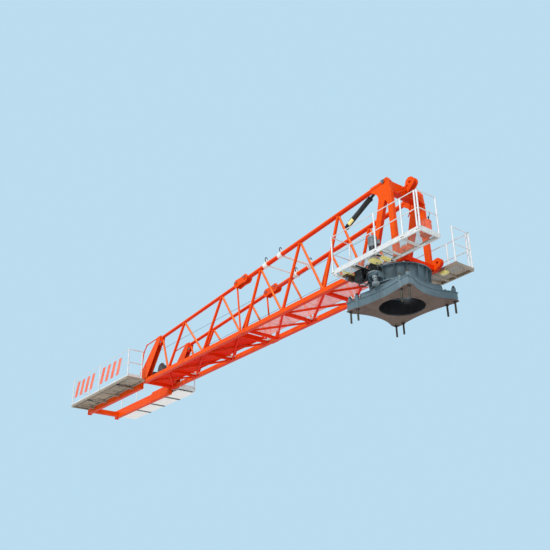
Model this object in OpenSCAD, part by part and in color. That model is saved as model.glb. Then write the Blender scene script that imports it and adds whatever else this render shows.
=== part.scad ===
// Upper works of a flat-top tower crane: slewing base, turntable, turret and counter-jib.
// Millimetres. Origin on the mast seat, on the slewing axis. +X points to the jib side,
// the counter-jib runs along -X, +Y is the left side and -Y the right side.

/* [Slewing base] */
// Length of the base plate over its corner feet, along X
base_l = 2340; // [2300:20:2480]
// Width of the base plate over its corner feet
base_w = 1980; // [1940:20:2160]
// Height of the base up to the slewing ring
base_h = 400; // [340:10:460]
// Height of the base at its corner feet
foot_h = 270; // [200:10:320]
// Depth of the hollow in the front and rear sides of the base
scoop_front = 210; // [150:10:240]
// Depth of the hollow in the left and right sides of the base
scoop_side = 130; // [90:10:150]
// Distance from the front or rear edge of the base to the middle of a bolt pair
bolt_inset_x = 215; // [190:5:235]
// Distance between the two bolts of a pair
bolt_pair_gap = 280; // [240:10:300]
// Distance from the left or right edge of the base to the bolts
bolt_inset_y = 90; // [80:5:110]
// Diameter of a mast bolt
bolt_d = 56; // [40:2:70]
// Length of a mast bolt below the seat
bolt_drop = 340; // [200:10:420]

/* [Slewing ring and turntable] */
// Outer radius of the slewing ring
ring_r = 860; // [820:5:880]
// Width of the fixed ring, from its teeth to where it meets the moving ring
fixed_ring_w = 85; // [70:5:100]
// Distance from the ring's teeth to the access hole through base, ring and turntable
access_inset = 220; // [180:5:300]
// Height of the slewing ring
ring_h = 80; // [60:5:110]
// Height gap between the fixed and the moving parts
running_gap = 6; // [5:1:12]
// Radial gap between the fixed and the moving ring
race_gap = 0.8; // [0.6:0.1:2]
// Height of the turntable
table_h = 460; // [400:10:520]
// Radius of the turntable's top plate
table_r = 900; // [860:10:960]
// Distance from the slewing axis to a slewing gear motor
gearmotor_y = 970; // [960:5:1010]

/* [Turret] */
// Distance between the middle planes of the two sides of the turret and counter-jib
frame_w = 1300; // [1200:10:1400]
// Height of the pin that holds the top chord
chord_pin_z = 3575; // [3400:5:3700]
// Distance from the slewing axis to that pin
chord_pin_x = 350; // [250:10:420]
// Thickness of a turret side plate box
turret_t = 120; // [90:5:150]
// Distance from the slewing axis to the lower jib pins
lower_pin_x = 890; // [850:10:980]
// Distance from the slewing axis to the upper jib pin
upper_pin_x = 790; // [780:10:900]
// Radius of the holes of the jib pins
jib_pin_r = 45; // [30:5:60]

/* [Counter-jib] */
// Height of the middle of the bottom chords
low_z = 1190; // [1165:5:1240]
// Fall of the top chord for each metre towards the rear
chord_fall = 76; // [60:2:90]
// Size of a square bottom chord
low_chord = 140; // [110:5:160]
// Diameter of the top chord of the inner section
top_chord_d = 150; // [130:5:180]
// Diameter of the top chord of the outer section
outer_chord_d = 125; // [100:5:150]
// Diameter of a brace that falls to the rear
strut_d = 100; // [80:5:130]
// Diameter of a brace that falls to the front
tie_d = 76; // [60:4:100]
// Distance from the slewing axis to the splice between inner and outer sections
splice_x = 6530; // [6400:10:6700]
// Distance from the slewing axis to the rear end of the lattice
lattice_end = 13300; // [13100:50:13600]

/* [Ballast frame] */
// Distance from the slewing axis to the rear end of the ballast rails
rail_end = 17850; // [17000:50:18400]
// Distance from the slewing axis to the step in the ballast rails
rail_step = 14600; // [14300:50:15200]
// Width of a ballast rail
rail_w = 140; // [120:5:160]
// Height of a ballast rail behind the step
rail_h = 320; // [280:10:400]
// Height of the doubling plate of a ballast rail in front of the step
rail_plate_h = 380; // [360:10:460]

/* [Platforms] */
// Height of a guard rail over its floor
guard_h = 1100; // [1000:20:1200]
// Width of the rear platforms
rear_floor_w = 760; // [600:20:820]
// Width of the slewing platforms
slew_floor_w = 760; // [700:20:820]
// Height of the frame of a platform floor
floor_frame_h = 90; // [70:5:120]
// Diameter of a guard rail post
post_d = 48; // [40:2:60]
// Diameter of the rails of the slewing platforms
rail_d = 28; // [20:2:34]
// Diameter of the rails of the rear platforms
thin_rail_d = 20; // [16:2:34]

/* [Hidden] */
$fn = 48;

// Right is -Y and left is +Y
RIGHT = -1;
LEFT = 1;
// Clearance that lets a fitted piece go on
fit = 0.3;

half_w = frame_w / 2;
ring_z = base_h;
table_z = ring_z + ring_h + running_gap;
turret_z = table_z + table_h;
low_top = low_z + low_chord / 2;
low_bottom = low_z - low_chord / 2;

// Stations of the lattice nodes, from the slewing axis to the rear
inner_tops = [1620, 3430, 5500];
inner_lows = [760, 2440, 4420, splice_x - 130];
outer_tops = [7780, 10240];
outer_lows = [splice_x + 130, 8940, 11320];
chord_front = 190;
chord_rear = 12020;
splice_gap = 20;

// Height of the middle of the top chord at a station
function top_z(s) = chord_pin_z - (chord_pin_x + s) * chord_fall / 1000;
fall_angle = atan(chord_fall / 1000);

// A round bar from point a to point b
module bar(a, b, d) {
    v = b - a;
    len = norm(v);
    translate(a)
        rotate([0, acos(v[2] / len), atan2(v[1], v[0])])
            cylinder(h = len, d = d);
}

// A box from its lowest to its highest corner
module block(low, high) {
    translate(low) cube(high - low);
}

// A plate drawn in X and Z, standing in a plane at y, of thickness t
module upright(y, t) {
    translate([0, y + t / 2, 0]) rotate([90, 0, 0]) linear_extrude(t) children();
}

// Children placed with +X along the top chord at a station, on its middle line
module on_top_chord(s, side) {
    translate([-s, side * half_w, top_z(s)]) rotate([0, -fall_angle, 0]) children();
}

// Slewing base: a box with hollowed sides and four corner feet, under a round ring seat
module base_outline(inset) {
    scoop_x = base_l / 2 - 200;
    scoop_y = base_w / 2 - 200;
    rx = (scoop_x * scoop_x + scoop_side * scoop_side) / (2 * scoop_side);
    ry = (scoop_y * scoop_y + scoop_front * scoop_front) / (2 * scoop_front);
    difference() {
        square([base_l - 2 * inset, base_w - 2 * inset], center = true);
        for (s = [-1, 1]) {
            translate([0, s * (base_w / 2 + rx - scoop_side)]) circle(rx + inset, $fn = 180);
            translate([s * (base_l / 2 + ry - scoop_front), 0]) circle(ry + inset, $fn = 180);
        }
    }
}

bolt_pair_x = base_l / 2 - bolt_inset_x;
bolt_y = base_w / 2 - bolt_inset_y;
bolt_places = [for (sx = [-1, 1], sy = [-1, 1], k = [-1, 1])
    [sx * bolt_pair_x + k * bolt_pair_gap / 2, sy * bolt_y]];
plate_t = 25;
plate_lip = 18;
boss_d = 124;
boss_h = 110;
seat_r = ring_r + 25;

wall_r = 1120;
access_r = ring_r - access_inset;
module base_holes() {
    translate([0, 0, -1]) cylinder(h = base_h + 2, r = access_r, $fn = 96);
    for (p = bolt_places)
        translate([p[0], p[1], -1]) cylinder(h = foot_h + boss_h + 2, d = bolt_d + 2 * fit);
}

module base_bottom_plate() {
    color([0.4, 0.38, 0.36])
    difference() {
        linear_extrude(plate_t) base_outline(0);
        base_holes();
    }
}

module base_frame() {
    color([0.33, 0.37, 0.39])
    difference() {
        union() {
            translate([0, 0, plate_t]) linear_extrude(foot_h - 2 * plate_t + 1) base_outline(plate_lip);
            translate([0, 0, foot_h - plate_t]) linear_extrude(plate_t) base_outline(0);
            // the box rises to the ring seat, short of the corner feet
            translate([0, 0, foot_h - 1]) linear_extrude(base_h - plate_t - foot_h + 2) intersection() {
                base_outline(plate_lip);
                circle(wall_r, $fn = 96);
            }
            translate([0, 0, base_h - plate_t]) linear_extrude(plate_t) intersection() {
                base_outline(plate_lip - 12);
                circle(wall_r + 12, $fn = 96);
            }
            translate([0, 0, base_h - plate_t]) cylinder(h = plate_t, r = seat_r, $fn = 96);
            // stiffeners from the box to the feet
            for (sx = [-1, 1], sy = [-1, 1])
                rotate(atan2(sy * bolt_y, sx * bolt_pair_x)) translate([wall_r - 15, -15, foot_h - 1])
                    cube([190, 30, (base_h - foot_h) * 0.7]);
            for (p = bolt_places)
                translate([p[0], p[1], plate_t]) cylinder(h = foot_h + boss_h - plate_t, d = boss_d);
        }
        base_holes();
    }
}

nut_h = 46;
nut_d = 96;
module mast_bolts() {
    color([0.2, 0.19, 0.17])
    for (p = bolt_places) translate([p[0], p[1], 0]) {
        translate([0, 0, -bolt_drop]) cylinder(h = bolt_drop + foot_h + boss_h + nut_h + 35, d = bolt_d);
        translate([0, 0, foot_h + boss_h]) cylinder(h = nut_h, d = nut_d, $fn = 6);
        translate([0, 0, foot_h + boss_h]) cylinder(h = 10, d = nut_d + 14);
    }
}

// Slewing ring: the toothed outer ring is fixed, the inner ring turns
race_r = ring_r - fixed_ring_w;
tooth_count = 96;
tooth_h = 22;
module slew_ring_fixed() {
    color([0.12, 0.12, 0.13])
    translate([0, 0, ring_z])
    difference() {
        union() {
            cylinder(h = ring_h, r = ring_r - tooth_h + 2, $fn = 96);
            linear_extrude(ring_h * 0.8) tooth_outline(tooth_count, ring_r, tooth_h);
        }
        translate([0, 0, -1]) cylinder(h = ring_h + 2, r = race_r + race_gap / 2, $fn = 96);
    }
}

module tooth_outline(count, r, depth) {
    step = 360 / count;
    polygon([for (i = [0 : count - 1], q = [[0, 0], [0.18, 1], [0.48, 1], [0.66, 0]])
        let (a = (i + q[0]) * step, k = r - depth * (1 - q[1])) [k * cos(a), k * sin(a)]]);
}

module slew_ring_moving() {
    color([0.16, 0.16, 0.17])
    translate([0, 0, ring_z + running_gap])
    difference() {
        cylinder(h = ring_h, r = race_r - race_gap / 2, $fn = 96);
        translate([0, 0, -1]) cylinder(h = ring_h + 2, r = access_r + 10, $fn = 96);
    }
}

// Turntable: a ribbed drum with an access hole and wings that carry the gear motors
wing_l = 400;
wing_w = 360;
wing_t = 50;
wing_z = 200;
rib_count = 16;
drum_wall_r = ring_r - 60;
module turntable() {
    plate = 30;
    color([0.30, 0.34, 0.36])
    translate([0, 0, table_z])
    difference() {
        union() {
            cylinder(h = plate, r = ring_r, $fn = 96);
            translate([0, 0, plate - 1]) cylinder(h = table_h - 2 * plate + 2, r = drum_wall_r, $fn = 96);
            translate([0, 0, table_h - plate]) cylinder(h = plate, r = table_r, $fn = 96);
            // ribs that widen towards the top plate
            for (i = [0 : rib_count - 1]) rotate((i + 0.5) * 360 / rib_count)
                upright(0, 18) polygon([[drum_wall_r - 20, plate - 1], [ring_r - 8, plate - 1],
                    [table_r - 10, table_h - plate + 1], [drum_wall_r - 20, table_h - plate + 1]]);
            translate([-wing_l / 2, -gearmotor_y + 70 - wing_w / 2, wing_z]) cube([wing_l, wing_w, wing_t]);
            for (x = [-wing_l / 2, wing_l / 2 - 30])
                translate([x, -gearmotor_y - 50, wing_z - 110])
                    cube([30, gearmotor_y + 50 - drum_wall_r + 120, 112]);
        }
        translate([0, 0, -1]) cylinder(h = table_h + 2, r = access_r, $fn = 96);
        translate([0, -gearmotor_y, 0]) {
            translate([0, 0, wing_z - 1]) cylinder(h = wing_t + 2, r = motor_neck_r + fit);
            translate([0, 0, wing_z + wing_t]) cylinder(h = table_h, r = motor_flange_r + 5);
        }
    }
}

// Plate with a manhole in the top of the turntable
module turntable_hatch_plate() {
    color([0.2, 0.22, 0.24])
    difference() {
        translate([0, 0, turret_z - 40]) cylinder(h = 16, r = access_r - fit, $fn = 96);
        block([-230, -290, turret_z - 41], [350, 290, turret_z - 20]);
    }
}

// Slewing gear motor: it stands on a wing, with its pinion beside the toothed ring
motor_neck_r = 84;
motor_flange_r = 165;
motor_seat = table_z + wing_z + wing_t;
pinion_gap = 7;
pinion_teeth = 12;
module slew_gearmotor() {
    pinion_r = gearmotor_y - ring_r - pinion_gap;
    color([0.22, 0.25, 0.26])
    translate([0, -gearmotor_y, 0]) {
        translate([0, 0, ring_z + running_gap]) linear_extrude(ring_h - running_gap)
            tooth_outline(pinion_teeth, pinion_r, 18);
        translate([0, 0, ring_z + ring_h - 1]) cylinder(h = 60, r = 45);
        translate([0, 0, motor_seat - wing_t - 90]) cylinder(h = wing_t + 90, r = motor_neck_r);
        translate([0, 0, ring_z + ring_h + 50])
            cylinder(h = motor_seat - wing_t - 90 - ring_z - ring_h - 49, r = 60);
        translate([0, 0, motor_seat]) {
            cylinder(h = 36, r = motor_flange_r);
            translate([0, 0, 36]) cylinder(h = 360, r = 128);
            translate([0, 0, 396]) cylinder(h = 50, r = 160);
            translate([0, 0, 446]) cylinder(h = 250, r = 84);
            translate([0, 0, 640]) cylinder(h = 190, r = 108);
            translate([0, 0, 830]) cylinder(h = 34, r = 122);
            translate([0, 0, 864]) cylinder(h = 230, r = 112);
            translate([0, 0, 1094]) cylinder(h = 50, r = 96);
        }
    }
}

// Fillet in the inner corner at p, between the directions to a and b
module inner_fillet(p, a, b, r) {
    u = (a - p) / norm(a - p);
    v = (b - p) / norm(b - p);
    half = acos(u * v) / 2;
    w = (u + v) / norm(u + v);
    c = p + w * r / sin(half);
    difference() {
        polygon([p - w * 20, p + u * r / tan(half), c, p + v * r / tan(half)]);
        translate(c) circle(r);
    }
}

// Turret side: a head plate on a sloping rear leg and an upright front leg
head_top = chord_pin_z + 95;
head_x = 480;
front_leg_x = 640;
leg_w = 170;
rear_leg_x = -350;
fork_z = 2900;
side_foot = turret_z + 150;
module turret_outline() {
    heel = [rear_leg_x, low_top + 20];
    chin = [150, top_z(-150) - 340];
    nape = [-170, top_z(170) - top_chord_d / 2];
    polygon([[rear_leg_x, side_foot], heel, chin, nape, [-170, top_z(170) + top_chord_d / 2 + 6],
        [chord_pin_x - 60, head_top - 45], [head_x - 60, head_top], [head_x + 20, head_top],
        [front_leg_x - 65, head_top - 130], [front_leg_x - 65, head_top - 190],
        [front_leg_x - 30, fork_z + 180], [front_leg_x - 25, fork_z - 60], [front_leg_x, 1700],
        [front_leg_x + 10, side_foot]]);
    inner_fillet(chin, heel, nape, 280);
}
module turret_gap() {
    polygon([[rear_leg_x + 130, side_foot - 1], [rear_leg_x + 140, low_top + 20], [300, fork_z - 60],
        [345, fork_z + 60], [385, fork_z + 60], [front_leg_x - leg_w - 25, fork_z - 60],
        [front_leg_x - leg_w, 1700], [front_leg_x - leg_w + 10, side_foot - 1]]);
}
module turret_side(side) {
    color([1, 0.42, 0.1])
    difference() {
        union() {
            upright(side * half_w, turret_t) difference() {
                turret_outline();
                turret_gap();
            }
            // round socket of the top chord, up to its pin
            bar([-chord_front + fit, side * half_w, top_z(chord_front)],
                [beam_rear - 5, side * half_w, top_z(5 - beam_rear)], top_chord_d);
        }
        translate([chord_pin_x, side * half_w, chord_pin_z])
            rotate([90, 0, 0]) cylinder(h = top_chord_d + 2, r = chord_pin_r + fit, center = true);
        // seat of the top chord between the cheeks of the head plate
        translate([0, side * half_w, 0]) chord_slot();
    }
}
slot_w = 61;
slot_end = chord_pin_x + 90;
module chord_slot() {
    translate([-chord_front, 0, top_z(chord_front)]) rotate([0, -fall_angle, 0])
        translate([-400, -slot_w / 2, -top_chord_d / 2 - 4])
            cube([slot_end + chord_front + 400, slot_w, top_chord_d + 8]);
}
module turret_side_right() turret_side(RIGHT);
module turret_side_left() turret_side(LEFT);

chord_pin_r = 40;
module chord_pins() {
    color([0.45, 0.46, 0.48])
    for (side = [-1, 1]) translate([chord_pin_x, side * half_w, chord_pin_z]) rotate([90, 0, 0]) {
        cylinder(h = top_chord_d + 50, r = chord_pin_r, center = true);
        translate([0, 0, -side * (top_chord_d / 2 + 12 + fit)])
            cylinder(h = 24, r = chord_pin_r + 14, center = true);
    }
}

// Box beam between the two head plates
beam_low = 3190;
beam_rear = chord_pin_x + 75;
beam_front = front_leg_x - 70;
module turret_top_beam() {
    inner = half_w - turret_t / 2;
    color([0.95, 0.25, 0.08])
    difference() {
        union() {
            block([beam_rear, -inner, beam_low], [beam_front, inner, head_top - 140]);
            block([beam_rear - 40, -inner, beam_low - 12], [beam_front + 40, inner, beam_low]);
        }
        // hollow inside, open through the head plates
        block([beam_rear + 14, -inner - 1, beam_low + 14], [beam_front - 14, inner + 1, head_top - 154]);
    }
}

// Upper jib lug: two cheeks with an eye in front of the top beam, and two raking struts
lug_t = 50;
lug_gap = 80;
lug_r = 165;
module turret_jib_lug() {
    eye_z = chord_pin_z + 15;
    root = beam_front + fit;
    color([1, 0.42, 0.1])
    difference() {
        union() {
            for (s = [-1, 1]) upright(s * (lug_gap + lug_t) / 2, lug_t) {
                translate([upper_pin_x, eye_z]) circle(lug_r);
                polygon([[root, beam_low + 30], [root, head_top - 150],
                    [upper_pin_x - 60, eye_z + lug_r * 0.93],
                    [upper_pin_x + 90, eye_z - lug_r * 0.83]]);
            }
            block([root, -lug_gap / 2 - 1, beam_low + 30], [root + 30, lug_gap / 2 + 1, head_top - 150]);
            for (s = [-1, 1]) strut_bar([root + 70, s * (lug_gap / 2 + lug_t - 4), 3395],
                [front_leg_x + 40, s * (half_w - turret_t / 2 - fit), 3100], 62);
        }
        translate([upper_pin_x, 0, eye_z]) rotate([90, 0, 0])
            cylinder(h = lug_gap + 2 * lug_t + 4, r = jib_pin_r, center = true);
    }
}

// A square bar from point a to point b, turned so that its sides stay upright
module strut_bar(a, b, w) {
    v = b - a;
    flat = norm([v[0], v[1]]);
    translate(a) rotate([0, 0, atan2(v[1], v[0])]) rotate([0, atan2(-v[2], flat), 0])
        translate([-w / 2, -w / 2, -w / 2]) cube([norm(v) + w / 2, w, w]);
}

// Feet of the turret: side beams with the lower jib lugs
lower_pin_z = low_z - 20;
foot_lug_r = 140;
foot_rear = rear_leg_x - 20;
foot_front = front_leg_x + 60;
module turret_foot(side) {
    y = side * half_w;
    color([1, 0.40, 0.1])
    difference() {
        union() {
            block([foot_rear, y - turret_t / 2, turret_z], [foot_front, y + turret_t / 2, side_foot]);
            upright(y, turret_t) {
                polygon([[foot_front - 40, turret_z], [foot_front - 40, low_z + 80],
                    [lower_pin_x - 30, lower_pin_z + 135], [lower_pin_x + 40, lower_pin_z - 134],
                    [foot_front + 60, turret_z]]);
                translate([lower_pin_x, lower_pin_z]) circle(foot_lug_r);
            }
        }
        translate([lower_pin_x, y, lower_pin_z])
            rotate([90, 0, 0]) cylinder(h = turret_t + 4, r = jib_pin_r, center = true);
    }
}
module turret_foot_right() turret_foot(RIGHT);
module turret_foot_left() turret_foot(LEFT);

// Cross beams between the feet, at the rear and at the front
module turret_cross_beams() {
    inner = half_w - turret_t / 2;
    color([0.9, 0.2, 0.08]) {
        block([foot_rear, -inner, turret_z + 20], [foot_rear + 110, inner, side_foot]);
        block([foot_front - 30, -inner, turret_z + 40], [foot_front + 70, inner, side_foot + 40]);
    }
}

// Lattice sides. A strut falls to the rear and a tie falls to the front of each top node.
module chord_bar(from, to, side, d) {
    bar([-from, side * half_w, top_z(from)], [-to, side * half_w, top_z(to)], d);
}

module braces(tops, lows, side) {
    for (i = [0 : len(tops) - 1]) {
        top = [-tops[i], side * half_w, top_z(tops[i])];
        bar(top, [-lows[i + 1], side * half_w, low_z], strut_d);
        bar(top, [-lows[i], side * half_w, low_z], tie_d);
    }
}

pin_plate_t = 60;
module inner_truss(side) {
    color([1, 0.36, 0.1]) {
        difference() {
            union() {
                chord_bar(chord_front, splice_x - splice_gap, side, top_chord_d);
                // flat tongue that goes into the turret head
                translate([-chord_front, side * half_w, top_z(chord_front)]) rotate([0, -fall_angle, 0])
                    translate([-150, -pin_plate_t / 2, -top_chord_d / 2 + 1])
                        cube([chord_front + chord_pin_x + 220, pin_plate_t, top_chord_d - 2]);
                block([-splice_x + splice_gap, side * half_w - low_chord / 2, low_bottom],
                    [rear_leg_x - fit, side * half_w + low_chord / 2, low_top]);
                braces(inner_tops, inner_lows, side);
            }
            translate([chord_pin_x, side * half_w, chord_pin_z])
                rotate([90, 0, 0]) cylinder(h = turret_t + 2, r = chord_pin_r + fit, center = true);
            // the bars stop at the underside of the bottom chord
            translate([-splice_x, side * half_w - low_chord, low_bottom - 200])
                cube([splice_x, 2 * low_chord, 200]);
        }
    }
}
module inner_truss_right() inner_truss(RIGHT);
module inner_truss_left() inner_truss(LEFT);

module outer_truss(side) {
    color([1, 0.36, 0.1])
    difference() {
        union() {
            chord_bar(splice_x + splice_gap, chord_rear - 130, side, outer_chord_d);
            block([-lattice_end + 150, side * half_w - low_chord / 2, low_bottom],
                [-splice_x - splice_gap, side * half_w + low_chord / 2, low_top]);
            braces(outer_tops, outer_lows, side);
            bar([-splice_x - 330, side * half_w, top_z(splice_x + 330)],
                [-outer_lows[0], side * half_w, low_z], tie_d * 0.8);
            bar([-chord_rear + 180, side * half_w, top_z(chord_rear - 180)],
                [-outer_lows[2], side * half_w, low_z], tie_d);
        }
        translate([-lattice_end, side * half_w - low_chord, low_bottom - 200])
            cube([lattice_end - splice_x, 2 * low_chord, 200]);
    }
}
module outer_truss_right() outer_truss(RIGHT);
module outer_truss_left() outer_truss(LEFT);

// Fork splice between the sections: cheek plates and pins on the top chord, plates on the bottom chord
cheek_t = 34;
cheek_pitch = 250;
module splice(side) {
    color([1, 0.40, 0.1]) {
        on_top_chord(splice_x, side) {
            for (s = [-1, 1]) translate([0, s * (top_chord_d / 2 + fit + cheek_t / 2), 0])
                rotate([90, 0, 0]) linear_extrude(cheek_t, center = true) {
                    for (k = [-1, 1]) translate([k * cheek_pitch, 0]) circle(145);
                    polygon([[-cheek_pitch, -145], [0, -118], [cheek_pitch, -145], [cheek_pitch, 145],
                        [0, 118], [-cheek_pitch, 145]]);
                }
            for (k = [-1, 1], s = [-1, 1])
                translate([k * cheek_pitch, s * (top_chord_d / 2 + fit + cheek_t), 0])
                    rotate([-90 * s, 0, 0]) cylinder(h = 30, r = 52);
        }
        for (s = [-1, 1])
            translate([-splice_x - 180, side * half_w + s * (low_chord / 2 + 12.5) - 12.5, low_bottom])
                cube([360, 25, 85]);
    }
}
module splice_right() splice(RIGHT);
module splice_left() splice(LEFT);

// Cross beams and diagonals between the bottom chords
inner_y = half_w - low_chord / 2;
module cross_beam(s, size) {
    block([-s - size / 2, -inner_y, low_bottom], [-s + size / 2, inner_y, low_bottom + size]);
}

module floor_diagonal(from, to, size) {
    a = [-from, -inner_y];
    b = [-to, inner_y];
    angle = atan2(b[1] - a[1], b[0] - a[0]);
    translate([0, 0, low_bottom + 10])
    intersection() {
        translate(a) rotate(angle) translate([-200, -size / 2, 0]) cube([norm(b - a) + 400, size, size]);
        translate([-lattice_end, -inner_y, 0]) cube([lattice_end, 2 * inner_y, size]);
    }
}

module crossed(front, rear, size) {
    floor_diagonal(rear - 60, front + 60, size);
    mirror([0, 1, 0]) floor_diagonal(rear - 60, front + 60, size);
}

module inner_floor_beams() {
    color([0.92, 0.2, 0.07]) {
        for (s = [inner_lows[1], inner_lows[2], splice_x - 250]) cross_beam(s, 90);
        crossed(inner_lows[0] - 200, inner_lows[1], 55);
        crossed(inner_lows[1], inner_lows[2], 55);
        crossed(inner_lows[2], splice_x - 250, 55);
    }
}

walk_y = 300;
walk_t = 30;
module inner_walkway() {
    z = low_bottom + 90 + fit;
    color([0.95, 0.6, 0.5])
    mesh_panel([-splice_x + 60, -inner_y + 2], [-inner_lows[0] + 200, walk_y], z, walk_t, 12, 3);
}

module outer_floor_beams() {
    color([0.92, 0.2, 0.07]) {
        for (s = [splice_x + 250, outer_lows[1], outer_lows[2], lattice_end - 260]) cross_beam(s, 90);
        crossed(splice_x + 250, outer_lows[1], 55);
        crossed(outer_lows[1], outer_lows[2], 55);
        crossed(outer_lows[2], lattice_end - 260, 55);
    }
}

// Steel deck of the outer section, with a turned-up edge and triangular wings to the left chord
module outer_deck() {
    z = low_bottom + 90 + fit;
    t = 12;
    color([0.9, 0.16, 0.05])
    difference() {
        union() {
            block([-lattice_end + 160, -inner_y + 2, z], [-splice_x - 60, walk_y, z + t]);
            block([-lattice_end + 160, walk_y - t, z], [-splice_x - 60, walk_y, z + 90]);
            for (s = [splice_x + 250, outer_lows[1], outer_lows[2], lattice_end - 480])
                translate([-s, walk_y - 1, z]) linear_extrude(t)
                    polygon([[-300, 0], [300, 0], [60, inner_y - walk_y - 1], [-60, inner_y - walk_y - 1]]);
        }
    }
}

// Rear end of the lattice: a tapered channel post on each side, with its open side to the front
post_t = 190;
post_wall = 16;
module end_post_outline() {
    polygon([[-lattice_end - 20, low_top - 60], [-lattice_end + 150 - fit, low_top - 60],
        [-lattice_end + 150 - fit, low_top + fit], [-lattice_end + 500, low_top + fit],
        [-chord_rear + 40, top_z(chord_rear) - 230], [-chord_rear + 115, top_z(chord_rear) - 100],
        [-chord_rear + 115, top_z(chord_rear) + 75], [-chord_rear - 60, top_z(chord_rear) + 95],
        [-lattice_end - 20, low_top + 290]]);
}
module end_post(side) {
    front_foot = [-lattice_end + 500, low_top];
    front_head = [-chord_rear + 40, top_z(chord_rear) - 230];
    slope = atan2(front_head[1] - front_foot[1], front_head[0] - front_foot[0]);
    color([1, 0.42, 0.1])
    difference() {
        upright(side * half_w, post_t) end_post_outline();
        // trough in the front side
        upright(side * half_w, post_t - 2 * post_wall) translate(front_foot) rotate(slope)
            translate([40, -60]) square([norm(front_head - front_foot) - 90, 260]);
    }
}
module end_post_right() end_post(RIGHT);
module end_post_left() end_post(LEFT);

// Bent guard pipes behind the end posts
guard_pipe_d = 42;
module end_guard_pipes() {
    top = top_z(chord_rear) + 95 + guard_pipe_d / 2 + 7;
    foot = rail_top + rail_rise + 60;
    color([0.9, 0.3, 0.15])
    for (side = [-1, 1]) {
        path = [[-chord_rear + 60, top], [-chord_rear - 1040, top - 60],
            [-chord_rear - 1260, top - 300], [-chord_rear - 1480, foot]];
        for (i = [0 : 2]) bar([path[i][0], side * half_w, path[i][1]],
            [path[i + 1][0], side * half_w, path[i + 1][1]], guard_pipe_d);
        for (i = [1, 2]) translate([path[i][0], side * half_w, path[i][1]]) rotate([90, 0, 0])
            cylinder(h = guard_pipe_d + 6, d = guard_pipe_d + 10, center = true);
        translate([path[3][0], side * half_w, rail_top + rail_rise + fit])
            cylinder(h = 62, d = guard_pipe_d + 16);
    }
}

module end_cross_tube() {
    color([1, 0.3, 0.08])
    block([-lattice_end - 20, -half_w + post_t / 2, low_top - 60],
        [-lattice_end + 80, half_w - post_t / 2, low_top + 40]);
}

// Lifting spreaders: saddles on the top chords with a tube between them
module lifting_spreader(s, tube_d) {
    saddle_l = 190;
    saddle_t = 22;
    color([0.93, 0.93, 0.9]) {
        for (side = [-1, 1]) on_top_chord(s, side) difference() {
            union() {
                rotate([0, 90, 0])
                    cylinder(h = saddle_l, r = top_chord_d / 2 + fit + saddle_t, center = true);
                translate([-saddle_l / 2 + 30, -20, 0]) cube([saddle_l - 60, 40, top_chord_d / 2 + 110]);
            }
            rotate([0, 90, 0]) cylinder(h = saddle_l + 2, r = top_chord_d / 2 + fit, center = true);
            translate([0, 50, top_chord_d / 2 + 65]) rotate([90, 0, 0]) cylinder(h = 100, r = 22);
        }
        translate([-s, 0, top_z(s)]) rotate([90, 0, 0])
            cylinder(h = 2 * (half_w - top_chord_d / 2 - saddle_t + 8), d = tube_d, center = true);
    }
}
module lifting_spreader_front() lifting_spreader(4430, 84);
module lifting_spreader_rear() lifting_spreader(5200, 50);

// Lifelines along the walkway, from the turret to the end posts
lifeline_d = 12;
lifeline_y = half_w - strut_d / 2 - lifeline_d / 2 - fit;
lifeline_z = 2200;
module lifelines() {
    color([0.5, 0.52, 0.55])
    for (side = [-1, 1]) {
        bar([-140, side * lifeline_y, lifeline_z],
            [-chord_rear - 100, side * lifeline_y, lifeline_z], lifeline_d);
    }
}

// Ballast rails: deep flat beams, doubled in front of the step, with a lipped plate at the tip
rail_top = low_top + 20;
rail_bottom = rail_top - rail_h;
rail_rise = 70;
module ballast_rail(side) {
    y = side * half_w;
    front = -lattice_end - 20 - fit;
    color([1, 0.38, 0.08]) {
        block([-rail_end, y - rail_w / 2, rail_bottom], [front, y + rail_w / 2, rail_top]);
        upright(y, rail_w + 30) polygon([[-rail_step - 120, rail_top - rail_plate_h + 120],
            [-rail_step, rail_top - rail_plate_h + rail_rise], [front, rail_top - rail_plate_h + rail_rise],
            [front, rail_top + rail_rise], [-rail_step, rail_top + rail_rise],
            [-rail_step - 120, rail_top]]);
        block([-rail_end - 20, y - rail_w / 2 - 20, rail_bottom - 35],
            [-rail_end, y + rail_w / 2 + 20, rail_top]);
    }
}
module ballast_rail_right() ballast_rail(RIGHT);
module ballast_rail_left() ballast_rail(LEFT);

module ballast_end_beam() {
    color([1, 0.38, 0.08])
    block([-rail_end + 160, -half_w + rail_w / 2, rail_bottom + 20],
        [-rail_end + 320, half_w - rail_w / 2, rail_top - 110]);
}

// Floor panel with a grid of openings between its bars
module mesh_panel(low, high, z, t, nx, ny) {
    bar_w = 34;
    px = (high[0] - low[0] - bar_w) / nx;
    py = (high[1] - low[1] - bar_w) / ny;
    difference() {
        block([low[0], low[1], z], [high[0], high[1], z + t]);
        for (i = [0 : nx - 1], j = [0 : ny - 1])
            translate([low[0] + bar_w + i * px, low[1] + bar_w + j * py, z - 1])
                cube([px - bar_w, py - bar_w, t + 2]);
    }
}

// Platform floors: a frame of channels with cross bars, which carries a grating
grating_t = 30;
module floor_frame(low, high, z, bars) {
    edge = 45;
    bar_w = 40;
    block([low[0], low[1], z], [high[0], low[1] + edge, z + floor_frame_h]);
    block([low[0], high[1] - edge, z], [high[0], high[1], z + floor_frame_h]);
    block([low[0], low[1] + edge - 1, z], [low[0] + edge, high[1] - edge + 1, z + floor_frame_h]);
    block([high[0] - edge, low[1] + edge - 1, z], [high[0], high[1] - edge + 1, z + floor_frame_h]);
    if (bars > 0) for (i = [1 : bars]) {
        x = low[0] + i * (high[0] - low[0]) / (bars + 1);
        block([x - bar_w / 2, low[1] + edge - 1, z],
            [x + bar_w / 2, high[1] - edge + 1, z + floor_frame_h - grating_t - 5]);
    }
}

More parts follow.
